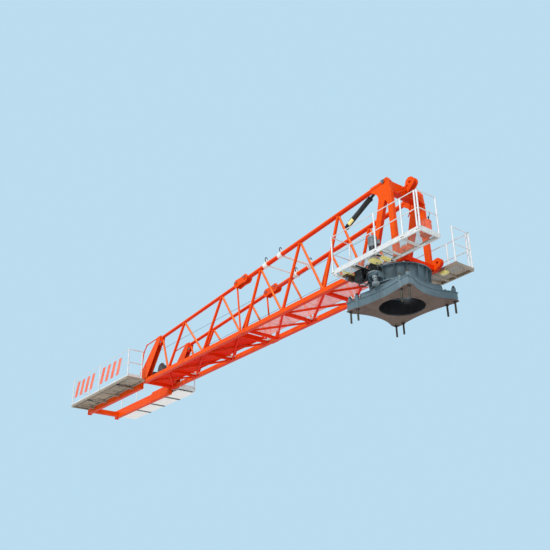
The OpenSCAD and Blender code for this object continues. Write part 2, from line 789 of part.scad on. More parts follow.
grating_edge = 46;
module grating(low, high, z, nx, ny) {
    mesh_panel([low[0] + grating_edge, low[1] + grating_edge],
        [high[0] - grating_edge, high[1] - grating_edge],
        z + floor_frame_h - grating_t - 5 + fit, grating_t - fit, nx, ny);
}

// Guard rail: posts, a top rail and a knee rail along a path of corner points
module guard(points, posts, z, d) {
    for (i = [0 : len(points) - 2]) for (h = [guard_h, guard_h * 0.52])
        bar([points[i][0], points[i][1], z + h], [points[i + 1][0], points[i + 1][1], z + h], d);
    for (p = posts) translate([p[0], p[1], z]) cylinder(h = guard_h + d * 0.3, d = post_d);
}

rear_x0 = -rail_end + 60;
rear_x1 = -12860;
rear_z = low_top - 150;
rear_in = half_w + rail_w / 2 + 70;
rear_out = rear_in + rear_floor_w;
bracket_places = [-17300, -16200, -15100, -13900];
function rear_low(side) = side > 0 ? [rear_x0, rear_in] : [rear_x0, -rear_out];
function rear_high(side) = side > 0 ? [rear_x1, rear_out] : [rear_x1, -rear_in];
module rear_floor_frame(side) {
    color([0.85, 0.87, 0.86]) {
        floor_frame(rear_low(side), rear_high(side), rear_z, 0);
        // brackets on the ballast rail
        for (x = bracket_places) {
            reach = half_w + rail_w / 2 + (x > -rail_step - 130 ? 15 : 0) + fit;
            block([x, side > 0 ? reach : -rear_out + 200, rear_z - 60],
                [x + 70, side > 0 ? rear_out - 200 : -reach, rear_z + 1]);
            block([x, side > 0 ? reach : -rear_in - 10, rear_z - 60],
                [x + 70, side > 0 ? rear_in + 10 : -reach, rear_z + 60]);
        }
    }
}
module rear_floor_frame_right() rear_floor_frame(RIGHT);
module rear_floor_frame_left() rear_floor_frame(LEFT);
module rear_grating_right()
    color([0.7, 0.66, 0.62]) grating(rear_low(RIGHT), rear_high(RIGHT), rear_z, 12, 3);
// The left floor is of closed sheet panels
module rear_grating_left() {
    low = rear_low(LEFT);
    high = rear_high(LEFT);
    color([0.92, 0.92, 0.9])
    block([low[0] + grating_edge, low[1] + grating_edge, rear_z + floor_frame_h - grating_t - 5 + fit],
        [high[0] - grating_edge, high[1] - grating_edge, rear_z + floor_frame_h - 5]);
}

// Dark joists under the rear floors: two on the right and three on the left
joist_w = 70;
joist_h = 40;
module rear_floor_joists() {
    top = rear_z + floor_frame_h - grating_t - 5;
    right = [for (k = [0.25, 0.77]) rear_x0 + k * (rear_x1 - rear_x0)];
    left = [for (k = [0.27, 0.51, 0.75]) rear_x0 + k * (rear_x1 - rear_x0)];
    color([0.3, 0.3, 0.3]) {
        for (x = right) block([x, -rear_out + 45, top - joist_h], [x + joist_w, -rear_in - 45, top]);
        for (x = left) block([x, rear_in + 45, top - joist_h], [x + joist_w, rear_out - 45, top]);
    }
}

module rear_railing(side) {
    y = side * (rear_out - 24);
    yi = side * (rear_in + 24);
    gate = side * (rear_in + 140);
    z = rear_z + floor_frame_h;
    xs = rear_x0 + 24;
    xe = rear_x1 - 24;
    color([0.9, 0.93, 0.95]) {
        guard([[xs, yi], [xs, y], [xe, y]], [[xs, yi], [xs, y], [(xs + xe) / 2, y]], z, thin_rail_d);
        // end gate with a toe plate
        guard([[xe, y], [xe, gate]], [[xe, y], [xe, gate]], z, post_d * 0.8);
        translate([xe - 5, min(y, gate), z]) cube([10, abs(y - gate), 120]);
    }
}
module rear_railing_right() rear_railing(RIGHT);
module rear_railing_left() rear_railing(LEFT);

// Plain sign: slanted slats in the guard rail, between two wires
module rear_sign(side) {
    y = side * (rear_out - 24 + thin_rail_d / 2 + 5 + fit);
    z = rear_z + floor_frame_h;
    slats = 9;
    first = rear_x0 + 230;
    pitch = (rear_x1 - rear_x0 - 760) / slats;
    color([1, 0.35, 0.15])
    for (i = [0 : slats - 1])
        if (i != 4)
            upright(y, 10) translate([first + i * pitch, z + 260])
                polygon([[0, 0], [220, 0], [440, 640], [220, 640]]);
}
module rear_sign_right() rear_sign(RIGHT);

slew_x0 = -1160;
slew_x1 = 2150;
slew_z = side_foot - 106;
slew_in = half_w + turret_t / 2 + 10;
slew_out = slew_in + slew_floor_w;
left_x0 = -900;
left_x1 = 1380;
left_shift = 70;
function slew_low(side) = side > 0 ? [left_x0, slew_in + left_shift] : [slew_x0, -slew_out];
function slew_high(side) = side > 0 ? [left_x1, slew_out + left_shift] : [slew_x1, -slew_in];
hatch_r = 190;
hatch_t = 15;
arm_h = 30;
hanger_x = -1040;
hanger_reach = 140;
module slew_floor_frame(side) {
    color([0.88, 0.9, 0.9])
    difference() {
        union() {
            floor_frame(slew_low(side), slew_high(side), slew_z, side > 0 ? 3 : 4);
            if (side < 0) {
                translate([0, -gearmotor_y, slew_z]) cylinder(h = floor_frame_h, r = hatch_r);
                // rear arm, hung from the bottom chord
                block([hanger_x, -slew_out + 20, slew_z - 60], [hanger_x + 60, -hanger_reach, slew_z + 1]);
                block([hanger_x, -half_w - 40, slew_z], [hanger_x + 60, -half_w + 40, low_bottom - fit]);
            }
            // arms on the feet of the turret legs
            for (x = [rear_leg_x + 40, front_leg_x - 140])
                block([x, side > 0 ? half_w + turret_t / 2 + fit : -slew_out + 40, slew_z - arm_h],
                    [x + 80, side > 0 ? slew_out : -half_w - turret_t / 2 - fit, slew_z + 1]);
        }
        if (side < 0)
            translate([0, -gearmotor_y, slew_z - 1]) cylinder(h = floor_frame_h + 2, r = hatch_r - hatch_t);
    }
}
module slew_floor_frame_right() slew_floor_frame(RIGHT);
module slew_floor_frame_left() slew_floor_frame(LEFT);
module slew_grating_right() {
    color([0.72, 0.68, 0.64])
    difference() {
        grating(slew_low(RIGHT), slew_high(RIGHT), slew_z, 10, 3);
        translate([0, -gearmotor_y, slew_z]) cylinder(h = floor_frame_h, r = hatch_r + 1);
    }
}
module slew_grating_left() color([0.72, 0.68, 0.64]) grating(slew_low(LEFT), slew_high(LEFT), slew_z, 8, 3);

module slew_railing(side) {
    lo = slew_low(side);
    hi = slew_high(side);
    out = side > 0 ? hi[1] - 24 : lo[1] + 24;
    in = side > 0 ? lo[1] + 24 : hi[1] - 24;
    z = slew_z + floor_frame_h;
    xs = lo[0] + 24;
    xe = hi[0] - 24;
    middle = side > 0 ? [0.3, 0.64] : [0.52, 0.82];
    color([0.94, 0.95, 0.96])
    guard([[xs, in], [xs, out], [xe, out], [xe, in]],
        [[xs, in], [xs, out], for (k = middle) [xs + k * (xe - xs), out],
            [xe - 90, out], [xe, out], [xe, in]],
        z, rail_d);
}
module slew_railing_right() slew_railing(RIGHT);
module slew_railing_left() slew_railing(LEFT);

// Equipment under the right platform
module control_cabinet() {
    color([0.08, 0.08, 0.09])
    block([-620, -1130, slew_z - 330], [-320, -930, slew_z - fit]);
}

module pump_unit() {
    color([0.36, 0.26, 0.2])
    translate([hanger_x + 60 + fit, -1240, 0]) {
        block([0, 0, slew_z - 70], [200, 330, slew_z - fit]);
        translate([100, 60, slew_z - 120]) rotate([-90, 0, 0]) cylinder(h = 240, r = 62);
    }
}

// Yellow clamps of the platforms on their arms
module platform_clamps() {
    color([0.93, 0.82, 0.3]) {
        block([150, -1330, slew_z - 66], [330, -1000, slew_z - fit]);
        block([front_leg_x - 140, -1250, slew_z - arm_h - 60],
            [front_leg_x - 20, -960, slew_z - arm_h - fit]);
        block([foot_front + 60, half_w + turret_t / 2 + 100, slew_z - 60],
            [foot_front + 260, slew_in + 260, slew_z - fit]);
    }
}

// Hydraulic cylinder that helps to raise the counter-jib, between a brace and the turret head
cylinder_y = -half_w + 160;
cylinder_low = [-1480, cylinder_y, 2950];
cylinder_high = [120, cylinder_y, 3700];
module erection_cylinder() {
    v = cylinder_high - cylinder_low;
    len = norm(v);
    color([0.1, 0.11, 0.11]) {
        translate(cylinder_low) rotate([0, acos(v[2] / len), 0]) {
            cylinder(h = 1150, d = 140);
            translate([0, 0, 1150]) cylinder(h = 60, d = 156);
            translate([0, 0, 1210]) cylinder(h = len - 1210, d = 80);
        }
        // pins of the two ends
        for (p = [cylinder_low, cylinder_high])
            translate([p[0], -half_w + (p[0] < 0 ? tie_d / 2 : turret_t / 2) + fit, p[2]])
                rotate([-90, 0, 0]) cylinder(h = 150 + 60 - (p[0] < 0 ? tie_d / 2 : turret_t / 2), d = 70);
    }
}

module grease_drum() {
    color([0.9, 0.25, 0.12])
    translate([slew_x1 - 220, -1010, slew_z + floor_frame_h - 5 + fit]) difference() {
        cylinder(h = 380, r = 160);
        translate([0, 0, 360]) cylinder(h = 30, r = 150);
    }
}

// Hoist winch on the deck
winch_x = -lattice_end + 950;
deck_top = low_bottom + 90 + fit + 12;
drum_r = 170;
drum_shaft_r = 44;
shaft_clearance = 0.06;
drum_z = deck_top + 330;
module winch_frame() {
    color([0.95, 0.3, 0.1]) {
        for (y = [-400, 150]) difference() {
            upright(y, 40) polygon([[winch_x - 300, deck_top + fit], [winch_x + 300, deck_top + fit],
                [winch_x + 120, drum_z + 110], [winch_x - 120, drum_z + 110]]);
            translate([winch_x, y, drum_z]) rotate([90, 0, 0])
                cylinder(h = 60, r = drum_shaft_r + shaft_clearance, center = true);
        }
        for (x = [winch_x - 280, winch_x + 200])
            block([x, -380, deck_top + fit], [x + 80, 130, deck_top + 80]);
    }
}

module winch_drum() {
    color([0.3, 0.3, 0.32])
    translate([winch_x, -125, drum_z]) rotate([90, 0, 0]) {
        cylinder(h = 440, r = drum_r, center = true);
        for (s = [-1, 1]) translate([0, 0, s * 235]) cylinder(h = 30, r = drum_r + 80, center = true);
        cylinder(h = 600, r = drum_shaft_r, center = true);
    }
}

module winch_motor() {
    color([0.1, 0.11, 0.12]) {
        translate([winch_x - 620, -125, deck_top + 240]) rotate([90, 0, 0])
            cylinder(h = 460, r = 150, center = true);
        block([winch_x - 740, -300, deck_top + fit], [winch_x - 500, 50, deck_top + 130]);
    }
}

module winch_brake() {
    color([0.12, 0.13, 0.14])
    translate([winch_x + 520, -125, deck_top + 200]) {
        rotate([90, 0, 0]) cylinder(h = 380, r = 140, center = true);
        block([-120, -150, -200 + fit], [120, 150, -60]);
    }
}

base_frame();
base_bottom_plate();
mast_bolts();
slew_ring_fixed();
slew_ring_moving();
turntable();
turntable_hatch_plate();
slew_gearmotor();
turret_side_right();
turret_side_left();
chord_pins();
turret_top_beam();
turret_jib_lug();
turret_foot_right();
turret_foot_left();
turret_cross_beams();
inner_truss_right();
inner_truss_left();
inner_floor_beams();
inner_walkway();
outer_truss_right();
outer_truss_left();
outer_floor_beams();
outer_deck();
end_post_right();
end_post_left();
end_cross_tube();
end_guard_pipes();
splice_right();
splice_left();
lifting_spreader_front();
lifting_spreader_rear();
lifelines();
ballast_rail_right();
ballast_rail_left();
ballast_end_beam();
rear_floor_frame_right();
rear_floor_frame_left();
rear_grating_right();
rear_grating_left();
rear_floor_joists();
rear_railing_right();
rear_railing_left();
rear_sign_right();
slew_floor_frame_right();
slew_floor_frame_left();
slew_grating_right();
slew_grating_left();
slew_railing_right();
slew_railing_left();
control_cabinet();
pump_unit();
platform_clamps();
erection_cylinder();
grease_drum();
winch_frame();
winch_drum();
winch_motor();
winch_brake();
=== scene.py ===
import math

import bmesh
import bpy
from mathutils import Matrix, Vector


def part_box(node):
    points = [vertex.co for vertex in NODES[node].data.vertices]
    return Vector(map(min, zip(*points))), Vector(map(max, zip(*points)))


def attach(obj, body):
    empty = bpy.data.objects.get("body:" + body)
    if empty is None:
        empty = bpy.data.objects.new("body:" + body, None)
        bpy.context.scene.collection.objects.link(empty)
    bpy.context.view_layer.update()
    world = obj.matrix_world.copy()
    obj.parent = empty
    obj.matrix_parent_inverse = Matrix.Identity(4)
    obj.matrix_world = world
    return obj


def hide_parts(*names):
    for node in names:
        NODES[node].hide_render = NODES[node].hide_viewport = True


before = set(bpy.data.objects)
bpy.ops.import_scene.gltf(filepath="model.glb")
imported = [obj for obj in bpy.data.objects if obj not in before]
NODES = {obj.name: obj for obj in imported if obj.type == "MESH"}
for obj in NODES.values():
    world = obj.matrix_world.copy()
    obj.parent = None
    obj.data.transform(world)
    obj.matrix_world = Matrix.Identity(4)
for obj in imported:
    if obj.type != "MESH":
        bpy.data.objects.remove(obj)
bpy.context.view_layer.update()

# ---------------------------------------------------------------- modelling

BOX_BEVEL = 0.08    # share of a box's shortest side
PLATE_BEVEL = 0.12  # share of a plate's thickness


def let_go():
    """Nothing is selected or active any more."""
    if bpy.context.mode != "OBJECT":
        bpy.ops.object.mode_set(mode="OBJECT")
    bpy.ops.object.select_all(action="DESELECT")


def only(obj):
    """This piece alone is selected and active."""
    let_go()
    obj.select_set(True)
    bpy.context.view_layer.objects.active = obj
    return obj


def edit(obj, mode="FACE"):
    """Edit mode on one piece, with nothing selected in it."""
    only(obj)
    bpy.ops.object.mode_set(mode="EDIT")
    bpy.ops.mesh.select_mode(type=mode)
    bpy.ops.mesh.select_all(action="DESELECT")


def done():
    """Back to object mode."""
    bpy.ops.object.mode_set(mode="OBJECT")


def pick_faces(obj, test):
    """Selects the faces whose centre and normal pass the test, in edit mode."""
    mesh = bmesh.from_edit_mesh(obj.data)
    for face in mesh.faces:
        face.select_set(test(face.calc_center_median(), face.normal))
    mesh.select_flush_mode()
    bmesh.update_edit_mesh(obj.data)


def delete_faces(obj, test):
    """Takes away the faces whose centre and normal pass the test."""
    edit(obj)
    pick_faces(obj, test)
    bpy.ops.mesh.delete(type="FACE")
    done()


def settle(obj):
    """The piece's place goes into its mesh."""
    only(obj)
    bpy.ops.object.transform_apply(location=True, rotation=True, scale=True)
    return obj


def modify(obj, kind, **values):
    """Adds one modifier and applies it."""
    only(obj)
    name = obj.modifiers.new(kind.title(), kind).name
    for key, value in values.items():
        setattr(obj.modifiers[name], key, value)
    bpy.ops.object.modifier_apply(modifier=name)
    return obj


def join(pieces):
    """Several pieces become one."""
    let_go()
    for piece in pieces:
        piece.select_set(True)
    bpy.context.view_layer.objects.active = pieces[0]
    if len(pieces) > 1:
        bpy.ops.object.join()
    return pieces[0]


def copy_to(obj, offset, turn=0.0):
    """A copy with its own mesh, turned about the upright axis and then moved."""
    twin = obj.copy()
    twin.data = obj.data.copy()
    bpy.context.collection.objects.link(twin)
    only(twin)
    if turn:
        bpy.ops.transform.rotate(
            value=turn, orient_axis="Z", center_override=(0, 0, 0))
    twin.location = twin.location + Vector(offset)
    return settle(twin)


def copies(obj, places):
    """A copy at every place, and the pattern goes."""
    row = [copy_to(obj, place) for place in places]
    bpy.data.objects.remove(obj)
    return row


def fit(obj, name, slot, body="upper", look=None):
    """Names a finished piece, paints it and lets it ride on its body."""
    obj.name = name
    obj.data.materials.clear()
    obj.data.materials.append(MATERIALS[look or slot])
    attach(obj, body)
    return obj


def plain_box(corner, opposite):
    """A box between two opposite corners, with a small bevel."""
    low = Vector([min(pair) for pair in zip(corner, opposite)])
    high = Vector([max(pair) for pair in zip(corner, opposite)])
    bpy.ops.mesh.primitive_cube_add(size=1, location=(low + high) / 2)
    obj = bpy.context.object
    obj.scale = high - low
    settle(obj)
    edit(obj, "EDGE")
    bpy.ops.mesh.select_all(action="SELECT")
    bpy.ops.mesh.bevel(offset=min(high - low) * BOX_BEVEL, segments=1)
    done()
    return obj


def aim(obj, place, toward):
    """Turns a piece from +Z towards a direction and puts it at its place."""
    obj.rotation_mode = "QUATERNION"
    obj.rotation_quaternion = Vector((0, 0, 1)).rotation_difference(Vector(toward))
    obj.location = Vector(place)
    return settle(obj)


def turned(steps, place=(0, 0, 0), toward=(0, 0, 1), sides=24):
    """A turned piece: a disc drawn up through its steps of height and radius."""
    height, radius = steps[0]
    bpy.ops.mesh.primitive_circle_add(
        vertices=sides, radius=radius, fill_type="NGON", location=(0, 0, height))
    obj = settle(bpy.context.object)
    edit(obj)
    bpy.ops.mesh.select_all(action="SELECT")
    for new_height, new_radius in steps[1:]:
        bpy.ops.mesh.extrude_region_move(
            TRANSFORM_OT_translate={"value": (0, 0, new_height - height)})
        scale = new_radius / radius
        bpy.ops.transform.resize(value=(scale, scale, 1), center_override=(0, 0, 0))
        height, radius = new_height, new_radius
    bpy.ops.mesh.select_all(action="SELECT")
    bpy.ops.mesh.normals_make_consistent(inside=False)
    done()
    return aim(obj, place, toward)


def outline_plate(corners, thickness, along=(0, 1, 0)):
    """A plate: a flat face with its corners moved into place, then drawn out."""
    bpy.ops.mesh.primitive_circle_add(
        vertices=len(corners), radius=1, fill_type="NGON")
    obj = settle(bpy.context.object)
    edit(obj, "VERT")
    mesh = bmesh.from_edit_mesh(obj.data)
    mesh.verts.ensure_lookup_table()
    for index, corner in enumerate(corners):
        for vert in mesh.verts:
            vert.select_set(vert.index == index)
        mesh.select_flush_mode()
        bpy.ops.transform.translate(value=Vector(corner) - mesh.verts[index].co)
    bpy.ops.mesh.select_mode(type="FACE")
    bpy.ops.mesh.select_all(action="SELECT")
    bpy.ops.mesh.extrude_region_move(
        TRANSFORM_OT_translate={"value": Vector(along) * thickness})
    bpy.ops.mesh.select_all(action="SELECT")
    bpy.ops.mesh.normals_make_consistent(inside=False)
    done()
    return modify(obj, "BEVEL", width=thickness * PLATE_BEVEL, segments=1,
                  limit_method="ANGLE", angle_limit=0.6)


def pipe(points, radius, sides=10):
    """A rigid bent pipe along its points."""
    bpy.ops.curve.primitive_nurbs_path_add()
    obj = bpy.context.object
    line = obj.data.splines[0]
    line.points.add(max(0, len(points) - len(line.points)))
    for index, point in enumerate(line.points):
        place = points[min(index, len(points) - 1)]
        point.co = (*place, 1)
    line.order_u = 3
    line.use_endpoint_u = True
    line.resolution_u = 4
    obj.data.bevel_depth = radius
    obj.data.bevel_resolution = max(1, sides // 4 - 1)
    obj.data.use_fill_caps = True
    obj.location = (0, 0, 0)
    bpy.ops.object.convert(target="MESH")
    return settle(bpy.context.object)


def bolt_head(radius, height, toward=(0, 0, 1), washer=True):
    """A hexagon head with its chamfer, on a round washer."""
    head = turned([(0, radius), (height * 0.8, radius), (height, radius * 0.82)],
                  toward=toward, sides=6)
    if not washer:
        return head
    disc = turned([(0, radius * 1.3), (height * 0.22, radius * 1.3)],
                  toward=toward, sides=12)
    return join([head, disc])


def bolts(name, places, radius, height, toward=(0, 0, 1), slot="bolt_steel",
          washer=True):
    """The same bolt head at many places."""
    head = bolt_head(radius, height, toward, washer)
    return fit(join(copies(head, places)), name, slot)


def round_places(count, radius, z, start=0.0, centre=(0, 0)):
    """Evenly spaced places on a level circle."""
    angles = [start + 2 * math.pi * i / count for i in range(count)]
    return [(centre[0] + radius * math.cos(angle),
             centre[1] + radius * math.sin(angle), z) for angle in angles]


def sided(s):
    """The name of the side at -Y or +Y."""
    return "right" if s < 0 else "left"


# ---------------------------------------------------------------- materials

RUST = (0.16, 0.055, 0.02, 1)
PAINTED_LIGHT_WAY = (0.5, -0.6, 0.62)        # towards the light: faces turned this way get painted light and a painted highlight
STREAK_STRETCH = (26, 26, 1.6)       # narrow across, long downwards
EDGE_WIDTH = 0.006
GRAIN_STRENGTH, GRAIN_DEPTH = 0.15, 0.004
DIRT_DULLS = 0.3


def add_node(tree, kind, inputs, **settings):
    """A new node with its settings, and its inputs set or linked."""
    node = tree.nodes.new("ShaderNode" + kind)
    for key, value in settings.items():
        setattr(node, key, value)
    for key, value in inputs.items():
        if isinstance(value, bpy.types.NodeSocket):
            tree.links.new(value, node.inputs[key])
        else:
            node.inputs[key].default_value = value
    return node


def new_group(name, inputs, outputs):
    """An empty node group, with what comes in and where to link what goes out."""
    group = bpy.data.node_groups.new(name, "ShaderNodeTree")
    for label, kind, value in inputs:
        socket = group.interface.new_socket(
            label, in_out="INPUT", socket_type="NodeSocket" + kind)
        socket.default_value = value
    for label in outputs:
        group.interface.new_socket(
            label, in_out="OUTPUT", socket_type="NodeSocketFloat")
    start = group.nodes.new("NodeGroupInput")
    end = group.nodes.new("NodeGroupOutput")
    return group, start.outputs, end.inputs


def noise(tree, place, scale, detail, rough):
    """Noise over a place."""
    node = add_node(tree, "TexNoise", {
        "Vector": place, "Scale": scale, "Detail": detail, "Roughness": rough})
    return node.outputs["Fac"]


def ramp(tree, value, low, high, kind="SMOOTHSTEP"):
    """A step from 0 to 1 between two values."""
    node = add_node(tree, "MapRange", {
        "From Min": low, "From Max": high, "Value": value}, interpolation_type=kind)
    return node.outputs["Result"]


def maths(tree, operation, one, other):
    """One value from two."""
    return add_node(tree, "Math", {0: one, 1: other}, operation=operation).outputs[0]


def vector_maths(tree, operation, inputs, output=0):
    """A vector or a value from two vectors."""
    return add_node(tree, "VectorMath", inputs, operation=operation).outputs[output]


def build_weather():
    """Patchy sun fading, rain streaks and dust, as masks."""
    group, start, end = new_group(
        "open_air_weather",
        [("Vector", "Vector", (0, 0, 0)), ("Patch Size", "Float", 1.0),
         ("Streaks", "Float", 0.5), ("Dust", "Float", 0.5)],
        ["Fade", "Dirt", "Height"])
    link = group.links.new
    place = start["Vector"]
    scaled = vector_maths(group, "SCALE", {0: place, "Scale": start["Patch Size"]})
    link(ramp(group, noise(group, scaled, 1.3, 3, 0.55), 0.35, 0.7), end["Fade"])
    stretched = vector_maths(group, "MULTIPLY", {0: place, 1: STREAK_STRETCH})
    runs = ramp(group, noise(group, stretched, 1.0, 3, 0.6), 0.54, 0.8)
    cloud = ramp(group, noise(group, place, 4.0, 6, 0.65), 0.5, 0.78)
    dirt = maths(group, "MAXIMUM",
                 maths(group, "MULTIPLY", runs, start["Streaks"]),
                 maths(group, "MULTIPLY", cloud, start["Dust"]))
    link(dirt, end["Dirt"])
    link(noise(group, place, 90, 3, 0.5), end["Height"])
    return group


def build_edge_wear():
    """A mask on worn outer edges, broken up by noise."""
    group, start, end = new_group(
        "worn_edges",
        [("Vector", "Vector", (0, 0, 0)), ("Width", "Float", 0.008),
         ("Amount", "Float", 0.5)],
        ["Mask"])
    rounded = add_node(group, "Bevel", {"Radius": start["Width"]}, samples=4)
    true_normal = add_node(group, "NewGeometry", {}).outputs["Normal"]
    agree = vector_maths(
        group, "DOT_PRODUCT", {0: rounded.outputs[0], 1: true_normal}, "Value")
    edge = ramp(group, agree, 0.995, 0.86, "LINEAR")
    chips = ramp(group, noise(group, start["Vector"], 22, 5, 0.7), 0.5, 0.66)
    both = maths(group, "MULTIPLY", edge, chips)
    group.links.new(maths(group, "MULTIPLY", both, start["Amount"]), end["Mask"])
    return group


def build_rust_spots():
    """A mask of small rust spots, in a few bigger blooms."""
    group, start, end = new_group(
        "rust_spots",
        [("Vector", "Vector", (0, 0, 0)), ("Amount", "Float", 0.5)], ["Mask"])
    spots = ramp(group, noise(group, start["Vector"], 34, 6, 0.75), 0.66, 0.72)
    where = ramp(group, noise(group, start["Vector"], 2.1, 2, 0.5), 0.5, 0.68)
    both = maths(group, "MULTIPLY", spots, where)
    group.links.new(maths(group, "MULTIPLY", both, start["Amount"]), end["Mask"])
    return group


def build_painted_light_side():
    """Masks of painted light: faces turned towards the light get a lighter colour, and
    a painted highlight where they face it squarely.
    """
    group, start, end = new_group(
        "painted_light_masks", [("Normal", "Vector", (0, 0, 1))], ["Mask", "Painted Highlight"])
    facing = vector_maths(
        group, "DOT_PRODUCT", {0: start["Normal"], 1: PAINTED_LIGHT_WAY}, "Value")
    group.links.new(ramp(group, facing, 0.15, 0.95), end["Mask"])
    group.links.new(ramp(group, facing, 0.8, 0.97), end["Painted Highlight"])
    return group


WEATHER = build_weather()
PAINTED_LIGHT_SIDE = build_painted_light_side()
WORN_EDGES = build_edge_wear()
RUST_SPOTS = build_rust_spots()


def shades(codes):
    """Colours as painted, from their six-digit codes."""
    out = []
    for code in codes.split():
        parts = [int(code[i:i + 2], 16) / 255 for i in (0, 2, 4)]
        out.append((*(c / 12.92 if c < 0.04045 else ((c + 0.055) / 1.055) ** 2.4
                      for c in parts), 1))
    return out


def surface(name, colours, rough=0.45, metallic=0.0, streaks=0.4, dust=0.35,
            wear=0.5, rust=0.4, patch=1.0, gloss=0.3, painted_light_colours=None):
    """A weathered finish. Its colours are fresh, faded, dirty and bare metal; an
    optional pair adds a painted lit side and a painted highlight.
    """
    material = bpy.data.materials.new(name)
    material.use_nodes = True
    tree = material.node_tree
    shader = tree.nodes["Principled BSDF"]
    place = tree.nodes.new("ShaderNodeTexCoord").outputs

    def use(group, inputs):
        """A shared effect at work in this material."""
        return add_node(tree, "Group", inputs, node_tree=group).outputs

    weather = use(WEATHER, {"Vector": place["Object"], "Patch Size": patch,
                            "Streaks": streaks, "Dust": dust})
    worn = use(WORN_EDGES, {"Vector": place["Object"], "Width": EDGE_WIDTH,
                            "Amount": wear})
    rusty = use(RUST_SPOTS, {"Vector": place["Object"], "Amount": rust})
    fresh, faded, dirt, bare = shades(colours)
    layers = [(faded, weather["Fade"]), (dirt, weather["Dirt"]),
              (bare, worn["Mask"]), (RUST, rusty["Mask"])]
    # painted light: a lighter colour on faces turned towards the light, and a painted
    # highlight where they face it squarely
    if painted_light_colours:
        side = use(PAINTED_LIGHT_SIDE, {"Normal": place["Normal"]})
        layers[1:1] = zip(shades(painted_light_colours), (side["Mask"], side["Painted Highlight"]))
    colour = fresh
    for over, mask in layers:
        step = add_node(tree, "Mix", {"A": colour, "B": over, "Factor": mask},
                        data_type="RGBA")
        colour = step.outputs["Result"]
    tree.links.new(colour, shader.inputs["Base Color"])
    dull = maths(tree, "MULTIPLY", weather["Dirt"], DIRT_DULLS)
    tree.links.new(maths(tree, "ADD", dull, rough), shader.inputs["Roughness"])
    shader.inputs["Metallic"].default_value = metallic
    shader.inputs["Specular IOR Level"].default_value = gloss
    relief = add_node(tree, "Bump", {
        "Strength": GRAIN_STRENGTH, "Distance": GRAIN_DEPTH,
        "Height": weather["Height"]})
    tree.links.new(relief.outputs["Normal"], shader.inputs["Normal"])
    return material


FINISHES = {
    "base_paint": dict(colours="566b75 6c828c 48453e a4a8aa",
                       streaks=0.6, dust=0.5, rust=0.5),
    # base_underside is a darker, browner copy of the base paint: painted shade and
    # warm ground bounce on the underside
    "base_underside": dict(colours="5e4c44 6c5a50 3e342e 7c7068", rough=0.6,
                           streaks=0.0, dust=0.7, wear=0.3, rust=0.6),
    "joist_grey": dict(colours="4c5052 5c6062 6e6256 8c8f92", rough=0.5,
                       dust=0.5, rust=0.5),
    "oiled_brown": dict(colours="5a4030 6a5040 2c2420 8a7a6c", rough=0.35,
                        dust=0.5, rust=0.6),
    "yellow_paint": dict(colours="fff28a fff6a8 d8c470 d8d4b4", rough=0.42,
                         dust=0.12, rust=0.1),
    "bolt_steel": dict(colours="46413a 5c5648 2e2a26 b8b09a", rough=0.42,
                       metallic=0.5, streaks=0.2, dust=0.4),
    "ring_steel": dict(colours="24272b 33373c 3c3832 808284", rough=0.42,
                       metallic=0.3, dust=0.5),
    "motor_paint": dict(colours="76848c 8a989e 4a4844 b4b8ba", rough=0.42,
                        dust=0.4, rust=0.2),
    # orange_paint's second pair of colours is painted light: a lighter lit side and a
    # painted highlight
    "orange_paint": dict(colours="e02c02 e43806 9c3008 c07850", rough=0.36,
                         streaks=0.5, dust=0.38, wear=0.45, rust=0.35,
                         gloss=0.1, painted_light_colours="f8640a fa9a50"),
    # red_paint is the orange made redder for parts that stand in shade, which is
    # painted shade in the colour; its second pair of colours is painted light on the
    # lit side
    "red_paint": dict(colours="e61e02 ec2c06 a02808 b06048", rough=0.55,
                      streaks=0.3, dust=0.2, wear=0.4, rust=0.3, gloss=0.05,
                      painted_light_colours="ee4408 f26030"),
    # walkway_mesh is pale pink in place of the mesh's orange paint: painted sky light
    # shining through the mesh
    "walkway_mesh": dict(colours="f09c94 f6b0aa cc8070 c8c0b8", rough=0.5,
                         dust=0.4, rust=0.3),
    "pin_steel": dict(colours="7c8084 94989c 4c4640 c8cacc", rough=0.32,
                      metallic=0.85, dust=0.4),
    "white_paint": dict(colours="ebecea e2e4e3 b8b0a2 a8acae", streaks=0.3,
                        dust=0.25, wear=0.3, rust=0.2),
    "panel_white": dict(colours="fcfcfb f6f7f6 d8d2c8 c8cacc", rough=0.5,
                        streaks=0.0, dust=0.2, wear=0.2, rust=0.1),
    "wire_rope": dict(colours="6c7074 84888c 4a4642 a8aaac", metallic=0.7,
                      rust=0.3),
    "galvanised": dict(colours="d8dcdd e6e9e9 a8a294 c4c8ca", rough=0.42,
                       metallic=0.15, patch=5.0, dust=0.25, rust=0.2),
    "grating": dict(colours="a09484 b0a492 7c6a58 b8b4ac", rough=0.55,
                    metallic=0.2, dust=0.6, rust=0.5),
    "sign_paint": dict(colours="f0684a f48468 b8604a d8a890", rough=0.5,
                       dust=0.3, rust=0.15),
    "cylinder_black": dict(colours="1e2224 2c3234 4c4a46 6c7074", rough=0.35,
                           dust=0.4, rust=0.2),
    "drum_orange": dict(colours="ee5c38 f07a58 9c4a38 c09080", rough=0.4,
                        dust=0.4, rust=0.3),
    "winch_steel": dict(colours="5a5e62 70757a 3c3834 a0a4a6", rough=0.4,
                        metallic=0.6),
    "winch_black": dict(colours="1c1e22 2c2f33 403c36 6c7072", rough=0.4,
                        dust=0.4, rust=0.2),
    # a darker, browner copy of the galvanised finish, given to two floor frames
    "darker_floor_frame": dict(colours="988c7e a89c8c 786a5a c4c0b8", rough=0.55,
                              metallic=0.15, dust=0.5),
}
MATERIALS = {name: surface(name, **values) for name, values in FINISHES.items()}

